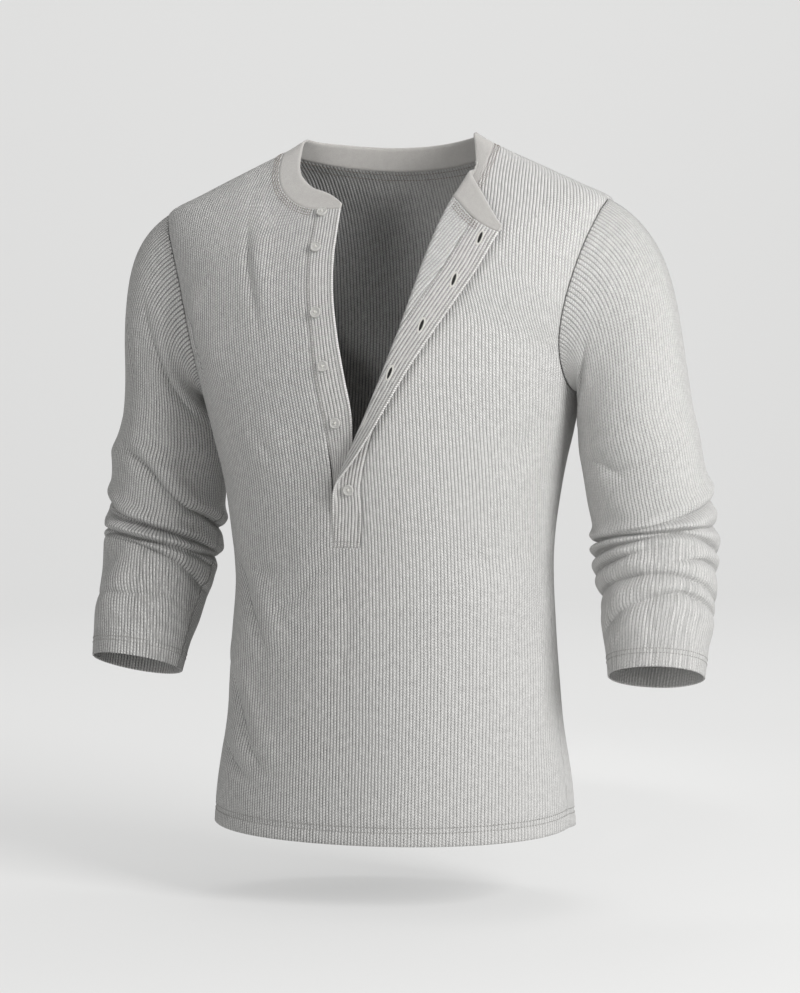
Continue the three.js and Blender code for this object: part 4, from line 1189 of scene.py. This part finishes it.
class Finishes:
    """Builds each finish's material once."""

    def __init__(self) -> None:
        """Build the shared knit group."""
        self.knit = knit_group()
        self.made: dict[str, bpy.types.Material] = {}

    def material(self, finish: KnitFinish | PlainFinish) -> bpy.types.Material:
        """The finish's material.

        Args:
            finish: a knitted or plain finish.

        Returns:
            The material, made the first time it is asked for.
        """
        if finish.name not in self.made:
            material = bpy.data.materials.new(finish.name)
            material.use_nodes = True
            nodes = Nodes(material.node_tree)
            if isinstance(finish, KnitFinish):
                self.knitted(nodes, finish)
            else:
                self.plain(nodes, finish)
            self.made[finish.name] = material
        return self.made[finish.name]

    def knitted(self, nodes: Nodes, finish: KnitFinish) -> None:
        """Nodes of a knitted cloth on its flat coordinates, with painted shade in its grooves that is deeper on
        the wearer's right half.
        """
        flat = nodes.add("ShaderNodeUVMap", uv_map="flat").outputs[0]
        knit = nodes.add("ShaderNodeGroup", node_tree=self.knit)
        nodes.tree.links.new(flat, knit.inputs["Flat"])
        knit.inputs["Rib Pitch"].default_value = finish.rib_pitch * MM
        knit.inputs["Course Pitch"].default_value = finish.course_pitch * MM
        # Painted shade: the grooves are darkened more on the wearer's right half, below x = -0.06 m, which faces
        # away from the key light, and less on the left half, above x = 0.09 m.
        place = nodes.add("ShaderNodeSeparateXYZ", {0: nodes.add("ShaderNodeTexCoord").outputs["Object"]}).outputs
        shades = {0: place[0], 1: -0.06, 2: 0.09, 3: finish.shaded_half_groove_shade, 4: finish.lit_half_groove_shade}
        half_groove_shade = nodes.add("ShaderNodeMapRange", shades, interpolation_type="SMOOTHSTEP").outputs[0]
        shade = nodes.math("SUBTRACT", 1.0, nodes.math("MULTIPLY", knit.outputs["Groove"], half_groove_shade))
        shade = nodes.math("MAXIMUM", shade, 0.2)
        tone = nodes.math("MULTIPLY", nodes.math("SUBTRACT", knit.outputs["Fleck"], 0.5), finish.fleck * 4)
        value = nodes.math("MULTIPLY", shade, nodes.math("ADD", tone, 1.0))
        colour = nodes.add("ShaderNodeVectorMath", {0: finish.colour}, operation="SCALE")
        nodes.tree.links.new(value, colour.inputs["Scale"])
        bump = nodes.add("ShaderNodeBump", {"Strength": 1.0, "Distance": finish.rib_height * MM,
                                            "Height": knit.outputs["Height"]})
        surface = nodes.add("ShaderNodeBsdfPrincipled", {
            "Base Color": colour.outputs[0], "Roughness": 0.92, "Specular IOR Level": 0.15,
            "Sheen Weight": 0.25, "Sheen Roughness": 0.6, "Normal": bump.outputs[0]})
        nodes.add("ShaderNodeOutputMaterial", {"Surface": surface.outputs[0]})

    def plain(self, nodes: Nodes, finish: PlainFinish) -> None:
        """Nodes of a plain finish."""
        surface = nodes.add("ShaderNodeBsdfPrincipled", {
            "Base Color": (*finish.colour, 1.0), "Roughness": finish.roughness, "Specular IOR Level": 0.3,
            "Emission Color": (1.0, 1.0, 0.995, 1.0), "Emission Strength": finish.glow})
        if finish.fleck:
            place = nodes.add("ShaderNodeTexCoord").outputs["Object"]
            cloud = nodes.add("ShaderNodeTexNoise", {"Vector": place, "Scale": 420.0, "Detail": 3.0}).outputs[0]
            uneven = nodes.math("MULTIPLY", nodes.math("SUBTRACT", cloud, 0.5), 4 * finish.fleck)
            tone = nodes.math("ADD", uneven, 1.0)
            colour = nodes.add("ShaderNodeVectorMath", {0: finish.colour}, operation="SCALE")
            nodes.tree.links.new(tone, colour.inputs["Scale"])
            nodes.tree.links.new(colour.outputs[0], surface.inputs["Base Color"])
        nodes.add("ShaderNodeOutputMaterial", {"Surface": surface.outputs[0]})


# ---------------------------------------------------------------------------------------------------------
# Stitches and buttons
# ---------------------------------------------------------------------------------------------------------
@dataclass
class StitchLine:
    """Where a row of stitches runs: points in millimetres and the way each faces."""

    points: Array
    facing: Array
    crosswise: bool = False
    pitch: float | None = None


class Stitching:
    """Lays stitches along lines with a node tree that repeats one stitch."""

    def __init__(self, sizes: StitchSizes) -> None:
        """Build the node tree once."""
        self.sizes = sizes
        self.tree = bpy.data.node_groups.new("stitches", "GeometryNodeTree")
        face = self.tree.interface
        face.new_socket("Geometry", in_out="INPUT", socket_type="NodeSocketGeometry")
        self.sockets = {name: face.new_socket(name, in_out="INPUT", socket_type="NodeSocketFloat").identifier
                        for name in ("Stitch Length", "Stitch Width", "Stitch Height")}
        self.sockets["Seed"] = face.new_socket("Seed", in_out="INPUT", socket_type="NodeSocketInt").identifier
        thread = face.new_socket("Thread", in_out="INPUT", socket_type="NodeSocketMaterial")
        self.sockets["Thread"] = thread.identifier
        face.new_socket("Geometry", in_out="OUTPUT", socket_type="NodeSocketGeometry")
        nodes = Nodes(self.tree)
        given = nodes.add("NodeGroupInput").outputs
        ball = nodes.add("GeometryNodeMeshUVSphere", {"Segments": 8, "Rings": 5, "Radius": 0.5}).outputs[0]
        size = nodes.add("ShaderNodeCombineXYZ", {0: given["Stitch Length"], 1: given["Stitch Width"],
                                                  2: given["Stitch Height"]}).outputs[0]
        stitch = nodes.add("GeometryNodeTransform", {"Geometry": ball, "Scale": size}).outputs[0]
        soft = nodes.add("GeometryNodeSetShadeSmooth", {"Geometry": stitch}).outputs[0]
        turn = self.aligned(nodes, "heading", "X", None)
        turn = self.aligned(nodes, "facing", "Z", turn)
        jitter = nodes.add("FunctionNodeRandomValue", {"Seed": given["Seed"]}, data_type="FLOAT_VECTOR")
        jitter.inputs[0].default_value = (0.88, 0.9, 0.85)
        jitter.inputs[1].default_value = (1.06, 1.1, 1.15)
        one_each = {"Points": given["Geometry"], "Instance": soft, "Rotation": turn, "Scale": jitter.outputs[0]}
        spread = nodes.add("GeometryNodeInstanceOnPoints", one_each).outputs[0]
        real = nodes.add("GeometryNodeRealizeInstances", {"Geometry": spread}).outputs[0]
        dressed = nodes.add("GeometryNodeSetMaterial", {"Geometry": real, "Material": given["Thread"]}).outputs[0]
        nodes.add("NodeGroupOutput", {0: dressed})

    @staticmethod
    def aligned(nodes: Nodes, attribute: str, axis: str,
                before: bpy.types.NodeSocket | None) -> bpy.types.NodeSocket:
        """Rotation that turns an axis to the direction kept in an attribute."""
        named = nodes.add("GeometryNodeInputNamedAttribute", {"Name": attribute}, data_type="FLOAT_VECTOR")
        node = nodes.add("FunctionNodeAlignRotationToVector", {"Vector": named.outputs[0]}, axis=axis,
                         pivot_axis="X" if before is not None else "AUTO")
        if before is not None:
            nodes.tree.links.new(before, node.inputs["Rotation"])
        return node.outputs[0]

    def places(self, line: StitchLine) -> tuple[Array, Array, Array]:
        """Middle, heading and facing of each stitch on a line."""
        step = np.linalg.norm(np.diff(line.points, axis=0), axis=1)
        run = np.concatenate([[0], np.cumsum(step)])
        pitch = line.pitch or self.sizes.pitch
        count = max(2, int(run[-1] / pitch))
        at = (np.arange(count) + 0.5) * run[-1] / count
        point, facing, ahead = (np.stack([np.interp(x, run, v[:, i]) for i in range(3)], -1)
                                for x, v in ((at, line.points), (at, line.facing), (at + 0.4, line.points)))
        behind = np.stack([np.interp(at - 0.4, run, line.points[:, i]) for i in range(3)], -1)
        heading = unit(ahead - behind)
        facing = unit(facing - heading * np.sum(facing * heading, -1, keepdims=True))
        return point, np.cross(facing, heading) if line.crosswise else heading, facing

    def piece(self, name: str, lines: list[StitchLine], thread: bpy.types.Material, seed: int,
              scale: float = 1.0) -> bpy.types.Object:
        """One piece that holds every stitch of some lines.

        Args:
            name: the piece's name.
            lines: where the stitches run.
            thread: their material.
            seed: fixes their small differences.
            scale: makes the stitches shorter or longer.

        Returns:
            The piece, as a plain mesh.
        """
        point, heading, facing = (np.concatenate(part) for part in zip(*(self.places(line) for line in lines)))
        mesh = bpy.data.meshes.new(name + "_places")
        mesh.from_pydata((point * MM).tolist(), [], [])
        for key, value in (("heading", heading), ("facing", facing)):
            layer = mesh.attributes.new(key, "FLOAT_VECTOR", "POINT")
            layer.data.foreach_set("vector", value.astype(np.float32).ravel())
        source = in_scene(name + "_places", mesh)
        modifier = source.modifiers.new("stitches", "NODES")
        modifier.node_group = self.tree
        modifier[self.sockets["Stitch Length"]] = self.sizes.length * scale * MM
        modifier[self.sockets["Stitch Width"]] = self.sizes.width * MM
        modifier[self.sockets["Stitch Height"]] = self.sizes.height * MM
        modifier[self.sockets["Seed"]] = seed
        modifier[self.sockets["Thread"]] = thread
        shown = source.evaluated_get(bpy.context.evaluated_depsgraph_get())
        made = in_scene(name, bpy.data.meshes.new_from_object(shown))
        bpy.data.objects.remove(source)
        return made


class StitchPlan:
    """Where the shirt is stitched."""

    def __init__(self, body: Body, plackets: Plackets, sleeves: dict[Hand, Sleeve]) -> None:
        """Keep the parts that are stitched."""
        self.body, self.plackets, self.sleeves = body, plackets, sleeves

    def on_panel(self, panel: Panel, s: Array, z: Array, lift: Array | float = 0.15) -> StitchLine:
        """A row on the outer face of a panel."""
        form = self.body.form
        return StitchLine(form.cloth(panel, s, z, lift), form.normal(panel, s, z))

    def hem(self) -> list[StitchLine]:
        """Two rows all round above the hem."""
        lines = []
        for panel in Panel:
            for above in (12.5, 17.5):
                share = np.linspace(-0.998, 0.998, 500)
                z = self.body.hem_z(share) + above
                lines.append(self.on_panel(panel, share * self.body.form.side(panel, z), z))
        return lines

    def cuff(self, hand: Hand) -> list[StitchLine]:
        """Two rows all round above the cuff's edge."""
        return [StitchLine(points + 0.15 * facing, facing)
                for points, facing in (self.sleeves[hand].above_cuff(d) for d in (13, 17.5))]

    def neck(self) -> list[StitchLine]:
        """Rows on the body just outside the neck seam, front and back."""
        lines = []
        for away in (1.4, 3.8, 6.2):
            left = by_index(LEFT_NECK, 6, np.linspace(0.3, 6, 120))
            step = unit(np.gradient(left, axis=0))
            left = left - np.stack([step[:, 1], -step[:, 0]], -1) * away
            lines.append(self.on_panel(Panel.FRONT, left[:, 0], left[:, 1]))
            right = by_index(RIGHT_NECK, 3, np.linspace(0, 3, 90))
            step = unit(np.gradient(right, axis=0))
            right = right + np.stack([step[:, 1], -step[:, 0]], -1) * away
            lines.append(self.on_panel(Panel.FRONT, right[:, 0], right[:, 1]))
            s = np.linspace(-1, 1, 160) * (self.body.neck_half + 0.2 * away)
            lines.append(self.on_panel(Panel.BACK, s, self.body.back_neck_z(s) - away))
            beyond = np.linspace(13, 48, 60)
            z = along(FOLDED_NECK, 1, beyond) - away - 1
            lines.append(self.on_fold(z, beyond))
        return lines

    def inside_neck(self) -> list[StitchLine]:
        """Rows that show inside the back, under the neck seam."""
        lines = []
        wall = self.body.sizes.wall
        for away in (2.0, 7.5):
            s = np.linspace(-0.99, 0.99, 160) * self.body.neck_half
            z = self.body.back_neck_z(s) - away
            normal = self.body.form.normal(Panel.BACK, s, z)
            lines.append(StitchLine(self.body.form.cloth(Panel.BACK, s, z, -wall - 0.2), -normal))
        return lines

    def on_fold(self, z: Array, beyond: Array, height: float = 0.2) -> StitchLine:
        """A row on the face that shows of the cloth folded back."""
        s, height_z, lift = self.body.lapel.place(z, beyond)
        wall = self.plackets.sizes.wall
        form = self.body.form
        normal = form.normal(Panel.FRONT, s, height_z)
        turn = np.minimum(np.maximum(beyond, 0) / self.body.lapel.sizes.roll_radius, self.body.lapel.hinge(z)[3])
        outward = np.where(np.cos(turn) < 0, wall + height, height)
        return StitchLine(form.cloth(Panel.FRONT, s, height_z, lift + outward), normal)

    def placket(self) -> list[StitchLine]:
        """Rows along both edges of the plackets and across their base."""
        lines = []
        z = np.linspace(-385, -66, 320)
        for share in (0.07, 0.93):
            s, _, lift = self.plackets.button_place(z, share * along(BUTTON_SEAM, 2, z))
            shown = z > -318
            lines.append(self.on_panel(Panel.FRONT, s[shown], z[shown], lift[shown] + 0.2))
        z = np.linspace(-388, -84, 320)
        for inset in (1.8, 27.6):
            beyond = self.body.lapel.seam_beyond(z) + inset
            flat = z < -352
            lines.append(self.on_fold(z[flat], beyond[flat]))
            folded = beyond > 12
            if folded.any():
                lines.append(self.on_fold(z[folded], beyond[folded]))
        for z_row in (-386.5, -391.5):
            s = np.linspace(-20.5, 8, 30)
            lines.append(self.on_panel(Panel.FRONT, s, np.full(30, z_row), 0.3))
        return lines

    def buttonholes(self) -> tuple[list[StitchLine], list[Array]]:
        """Stitches round each buttonhole, and the outline of each slit's painted shadow."""
        stitches, slit_shadows = [], []
        for z, inset in BUTTONHOLES:
            turn = np.linspace(0, 2 * np.pi, 72)
            middle = self.body.lapel.seam_beyond(z) + inset
            line = self.on_fold(z + 6.6 * np.sin(turn), middle + 2.4 * np.cos(turn), 0.1)
            line.crosswise, line.pitch = True, 0.62
            stitches.append(line)
            slit_shadows.append(self.on_fold(z + 5.2 * np.sin(turn), middle + 1.5 * np.cos(turn), 0.3).points)
        return stitches, slit_shadows


class Buttons:
    """Four-hole buttons, sewn on the button side with a crossed thread."""

    def __init__(self, body: Body, plackets: Plackets, sizes: ButtonSizes) -> None:
        """Keep where the buttons go, and their sizes."""
        self.body, self.plackets, self.sizes = body, plackets, sizes

    def plate(self) -> bpy.types.Mesh:
        """A disc with four holes and soft edges, made from filled curves."""
        curve = bpy.data.curves.new("button_plate", "CURVE")
        curve.dimensions, curve.fill_mode = "2D", "BOTH"
        bevel = 0.35
        curve.extrude = (self.sizes.thickness / 2 - bevel) * MM
        curve.bevel_depth, curve.bevel_resolution = bevel * MM, 2
        circles = [(0.0, 0.0, self.sizes.radius - bevel, 40)]
        offset = self.sizes.hole_offset
        circles += [(x * offset, y * offset, self.sizes.hole_radius + bevel * 0.5, 14)
                    for x, y in ((0.9, 0.9), (-0.9, 0.9), (0.9, -0.9), (-0.9, -0.9))]
        for x, y, radius, count in circles:
            spline = curve.splines.new("POLY")
            spline.points.add(count - 1)
            for i, point in enumerate(spline.points):
                angle = 2 * math.pi * i / count
                point.co = ((x + radius * math.cos(angle)) * MM, (y + radius * math.sin(angle)) * MM, 0, 1)
            spline.use_cyclic_u = True
        holder = in_scene("button_plate", curve)
        mesh = bpy.data.meshes.new_from_object(holder.evaluated_get(bpy.context.evaluated_depsgraph_get()))
        bpy.data.objects.remove(holder)
        return mesh

    def solid(self) -> tuple[Array, list[list[int]]]:
        """Vertices in millimetres and faces of a button with its rim."""
        plate = self.plate()
        points = [tuple(v.co / MM + Vector((0, 0, self.sizes.thickness / 2))) for v in plate.vertices]
        faces = [list(p.vertices) for p in plate.polygons]
        around, profile = 40, []
        for turn in np.linspace(0, np.pi, 7):
            profile.append((self.sizes.radius - self.sizes.rim / 2 + math.cos(turn) * self.sizes.rim / 2,
                            self.sizes.thickness - 0.25 + 0.75 * math.sin(turn)))
        first = len(points)
        for k in range(around):
            angle = 2 * math.pi * k / around
            points += [(r * math.cos(angle), r * math.sin(angle), h) for r, h in profile]
        size = len(profile)
        for k in range(around):
            for i in range(size - 1):
                a, b = first + k * size + i, first + (k + 1) % around * size + i
                faces.append([a, b, b + 1, a + 1])
        return np.array(points), faces

    def build(self, shell: bpy.types.Material, thread: bpy.types.Material) -> list[bpy.types.Object]:
        """All the buttons, each with its thread.

        Args:
            shell: the button's material.
            thread: the thread's material.

        Returns:
            The buttons, from the neck down.
        """
        points, faces = self.solid()
        pieces = []
        for number, (z, inset, fastened) in enumerate(BUTTONS, 1):
            s, _, lift = self.plackets.button_place(float(z), float(inset))
            lift = 0.7 if fastened else float(lift) + 0.7
            at = self.body.form.cloth(Panel.FRONT, np.array(float(s)), np.array(float(z)), lift)
            normal = self.body.form.normal(Panel.FRONT, np.array(float(s)), np.array(float(z)))
            turn = np.array(Vector(normal).to_track_quat("Z", "Y").to_matrix())
            spin = math.radians(self.sizes.spin * number)
            cosine, sine = math.cos(spin), math.sin(spin)
            around = np.array([[cosine, -sine, 0], [sine, cosine, 0], [0, 0, 1]])
            mesh = bpy.data.meshes.new(f"button_{number}_shell")
            placed = points @ around.T @ turn.T + at
            bars, bar_faces = self.thread_bars(len(placed))
            placed = np.concatenate([placed, bars @ around.T @ turn.T + at])
            mesh.from_pydata((placed * MM).tolist(), [], faces + bar_faces)
            mesh.materials.append(shell)
            mesh.materials.append(thread)
            mesh.polygons.foreach_set("material_index", [0] * len(faces) + [1] * len(bar_faces))
            mesh.polygons.foreach_set("use_smooth", [True] * len(mesh.polygons))
            mesh.update()
            mesh.set_sharp_from_angle(angle=math.radians(40))
            pieces.append(in_scene(mesh.name, mesh))
        return pieces

    def thread_bars(self, start: int) -> tuple[Array, list[list[int]]]:
        """Crossed threads over the holes, as small arched bars."""
        points, faces = [], []
        reach, sides, steps = self.sizes.hole_offset * 1.3, 6, 8
        for corner in (math.pi / 4, 3 * math.pi / 4):
            for shift in (-0.22, 0.22):
                along_bar = np.array([math.cos(corner), math.sin(corner), 0])
                beside = np.array([-along_bar[1], along_bar[0], 0])
                first = start + len(points)
                for i in range(steps + 1):
                    t = i / steps * 2 - 1
                    height = self.sizes.thickness + 0.35 - 1.5 * t**4
                    middle = along_bar * reach * t + beside * shift + np.array([0, 0, height])
                    for k in range(sides):
                        angle = 2 * math.pi * k / sides
                        out = beside * math.cos(angle) + np.array([0, 0, math.sin(angle)])
                        points.append(middle + 0.24 * out)
                for i in range(steps):
                    for k in range(sides):
                        a, b = first + i * sides + k, first + i * sides + (k + 1) % sides
                        faces.append([a, b, b + sides, a + sides])
        return np.array(points), faces


# ---------------------------------------------------------------------------------------------------------
# Studio
# ---------------------------------------------------------------------------------------------------------
@dataclass(frozen=True)
class StudioSizes:
    """Where the camera, floor and lights are, in metres."""

    azimuth: float = 22.0
    distance: float = 3.0
    pitch: float = 2.796
    roll: float = -0.9
    lens: float = 108.76
    aside: float = 0.0085
    height: float = -0.2015
    floor_z: float = -0.748
    far: float = 3.4
    world_strength: float = 0.34
    aim: tuple[float, float, float] = (0, 0, -0.34)
    spot_aim: tuple[float, float, float] = (0.012, 0.07, -0.06)


class Studio:
    """A pale seamless floor, the camera, and soft lights with the brightest at the right."""

    def __init__(self, sizes: StudioSizes) -> None:
        """Work out the directions that the camera sees along."""
        self.sizes = sizes
        turn = math.radians(sizes.azimuth)
        self.right = Vector((math.cos(turn), math.sin(turn), 0))
        self.back = Vector((math.sin(turn), -math.cos(turn), 0))

    def camera(self) -> bpy.types.Object:
        """The camera, slightly above the shirt and turned to its left side."""
        sizes = self.sizes
        pitch, roll = math.radians(sizes.pitch), math.radians(sizes.roll)
        forward = -self.back * math.cos(pitch) + Vector((0, 0, -math.sin(pitch)))
        level_up = self.right.cross(forward)
        up = level_up * math.cos(roll) - self.right * math.sin(roll)
        right = self.right * math.cos(roll) + level_up * math.sin(roll)
        data = bpy.data.cameras.new("camera")
        data.lens, data.sensor_width, data.sensor_fit = sizes.lens, 36.0, "AUTO"
        data.clip_end = 30
        camera = bpy.data.objects.new("camera", data)
        matrix = Matrix((right, up, -forward)).transposed().to_4x4()
        matrix.translation = self.back * sizes.distance + self.right * sizes.aside + Vector((0, 0, sizes.height))
        camera.matrix_world = matrix
        bpy.context.scene.collection.objects.link(camera)
        bpy.context.scene.camera = camera
        return camera

    def floor(self, material: bpy.types.Material) -> bpy.types.Object:
        """A floor that curves up behind into a plain backdrop."""
        turns = np.linspace(0, np.pi / 2, 24)
        radius, far, z = 1.4, self.sizes.far, self.sizes.floor_z
        profile = [(-6.0, z)] + [(far + radius * math.sin(t), z + radius * (1 - math.cos(t))) for t in turns]
        profile.append((far + radius, z + 7))
        points, faces = [], []
        for i, (away, height) in enumerate(profile):
            for side in (-8.0, 8.0):
                points.append(tuple(self.right * side - self.back * away + Vector((0, 0, height))))
            if i:
                faces.append([2 * i - 2, 2 * i - 1, 2 * i + 1, 2 * i])
        mesh = bpy.data.meshes.new("floor")
        mesh.from_pydata(points, [], faces)
        mesh.materials.append(material)
        mesh.polygons.foreach_set("use_smooth", [True] * len(mesh.polygons))
        floor = in_scene("floor", mesh)
        return floor

    def light(self, name: str, aside: float, ahead: float, up: float, size: float, energy: float,
              aim: tuple[float, float, float] | None = None) -> None:
        """A square soft light that faces the shirt's middle, or a place that far aside, up and behind it."""
        data = bpy.data.lights.new(name, "AREA")
        data.shape, data.size, data.energy = "SQUARE", size, energy
        lamp = bpy.data.objects.new(name, data)
        lamp.location = self.right * aside + self.back * ahead + Vector((0, 0, up))
        target = Vector(self.sizes.aim)
        if aim:
            target = self.right * aim[0] - self.back * aim[2] + Vector((0, 0, aim[1]))
        lamp.rotation_euler = (target - lamp.location).to_track_quat("-Z", "Y").to_euler()
        bpy.context.scene.collection.objects.link(lamp)

    def spot(self, name: str, aside: float, ahead: float, up: float, cone: float, energy: float) -> None:
        """A narrow soft-edged light into the neck."""
        data = bpy.data.lights.new(name, "SPOT")
        data.energy, data.spot_size, data.spot_blend, data.shadow_soft_size = energy, math.radians(cone), 1.0, 0.3
        lamp = bpy.data.objects.new(name, data)
        lamp.location = self.right * aside + self.back * ahead + Vector((0, 0, up))
        target = Vector(self.sizes.spot_aim)
        lamp.rotation_euler = (target - lamp.location).to_track_quat("-Z", "Y").to_euler()
        bpy.context.scene.collection.objects.link(lamp)

    def build(self, material: bpy.types.Material) -> None:
        """Set up the whole studio."""
        self.camera()
        self.floor(material)
        world = bpy.data.worlds.new("studio")
        world.use_nodes = True
        background = world.node_tree.nodes["Background"]
        background.inputs["Color"].default_value = (1.0, 1.0, 0.995, 1)
        background.inputs["Strength"].default_value = self.sizes.world_strength
        bpy.context.scene.world = world
        bpy.context.scene.view_settings.view_transform = "Standard"
        self.light("key", 2.05, 2.2, 0.85, 1.3, 132)
        self.light("front", -1.3, 3.0, -0.1, 1.0, 30)
        self.light("backdrop", 0.0, -1.4, 2.2, 2.0, 45, (0, 0, 3.6))
        self.spot("neck", -0.25, 1.5, 1.5, 7.0, 380)


# ---------------------------------------------------------------------------------------------------------
# The shirt
# ---------------------------------------------------------------------------------------------------------
@dataclass(frozen=True)
class Cut:
    """The flat cut of a cloth piece: width and length in metres, and its area where it isn't a rectangle."""

    width: float
    length: float
    area: float | None = None


class Henley:
    """The whole shirt, piece by piece."""

    CUTS = {
        "front": Cut(0.53, 0.69, 0.284),
        "back": Cut(0.53, 0.70, 0.324),
        "sleeve_left": Cut(0.43, 0.50, 0.142),
        "sleeve_right": Cut(0.43, 0.50, 0.142),
        "neckband": Cut(0.56, 0.024),
        "button_placket": Cut(0.03, 0.335),
        "buttonhole_placket": Cut(0.03, 0.375),
    }

    def __init__(self) -> None:
        """Set up the form, the finishes and the parts."""
        self.finishes = Finishes()
        self.body = Body(Form(BodySizes()), Lapel(PlacketSizes()))
        self.sleeves = {hand: Sleeve(hand, self.body, SleeveSizes()) for hand in Hand}
        self.plackets = Plackets(self.body)
        self.stitching = Stitching(StitchSizes())

    def cloth(self, piece: bpy.types.Object, node: str, slot: str, finish: KnitFinish,
              trims: list[bpy.types.Object]) -> None:
        """Dress a cloth piece and hide the solid that it stands for.

        Args:
            piece: the shell.
            node: the solid it replaces.
            slot: not used.
            finish: its finish.
            trims: not used.
        """
        piece.data.materials.append(self.finishes.material(finish))
        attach(piece, "root")
        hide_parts(node)
        LOG.info("%s: %d faces", piece.name, len(piece.data.polygons))

    def trim(self, name: str, lines: list[StitchLine], finish: PlainFinish, seed: int,
             scale: float = 1.0) -> bpy.types.Object:
        """A piece of stitching."""
        piece = self.stitching.piece(name, lines, self.finishes.material(finish), seed, scale)
        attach(piece, "root")
        LOG.info("%s: %d faces", name, len(piece.data.polygons))
        return piece

    def slit_shadows(self, outlines: list[Array]) -> bpy.types.Object:
        """Near-black sheets over the buttonholes, painted as the shadow in their slits."""
        points = np.concatenate(outlines)
        faces, start = [], 0
        for outline in outlines:
            faces.append(list(range(start, start + len(outline) - 1)))
            start += len(outline)
        mesh = bpy.data.meshes.new("buttonhole_slits")
        mesh.from_pydata((points * MM).tolist(), [], faces)
        mesh.materials.append(self.finishes.material(SLIT_SHADOW))
        piece = in_scene(mesh.name, mesh)
        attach(piece, "root")
        return piece

    def build(self) -> None:
        """Make every piece."""
        plan = StitchPlan(self.body, self.plackets, self.sleeves)
        hem = self.trim("hem_stitches", plan.hem(), SHADED_THREAD, 3)
        neck = self.trim("neck_stitches", plan.neck(), DARK_THREAD, 5)
        inside = self.trim("inside_neck_stitches", plan.inside_neck(), DARK_THREAD, 7)
        edges = self.trim("placket_stitches", plan.placket(), SHADED_THREAD, 9)
        rings, outlines = plan.buttonholes()
        holes = self.trim("buttonhole_stitches", rings, THREAD, 11, 0.75)
        slit_shadows = self.slit_shadows(outlines)
        self.cloth(self.body.front(), "front", "rib_knit", RIB_KNIT, [hem, neck])
        self.cloth(self.body.back(), "back", "rib_knit", RIB_KNIT, [inside])
        for hand, node in ((Hand.LEFT, "sleeve_left"), (Hand.RIGHT, "sleeve_right")):
            cuff = self.trim(node + "_cuff_stitches", plan.cuff(hand), SHADED_THREAD, 13 + hand.value)
            self.cloth(self.sleeves[hand].build(), node, "rib_knit", RIB_KNIT, [cuff])
        self.cloth(Neckband(self.body, BandSizes()).build(), "neckband", "fine_knit", FINE_KNIT, [])
        self.cloth(self.plackets.button_side(), "button_placket", "placket_knit", PLACKET_KNIT, [])
        self.cloth(self.plackets.hole_side(), "buttonhole_placket", "placket_knit", PLACKET_KNIT,
                   [edges, holes, slit_shadows])
        buttons = Buttons(self.body, self.plackets, ButtonSizes())
        pieces = buttons.build(self.finishes.material(BUTTON_SHELL), self.finishes.material(THREAD))
        for number, piece in enumerate(pieces, 1):
            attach(piece, "root")
            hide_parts(f"button_{number}")
            LOG.info("%s: %d faces", piece.name, len(piece.data.polygons))


def main() -> None:
    logging.basicConfig(level=logging.INFO, format="%(message)s")
    henley = Henley()
    henley.build()
    Studio(StudioSizes()).build(henley.finishes.material(STUDIO))


if __name__ == "__main__":
    main()
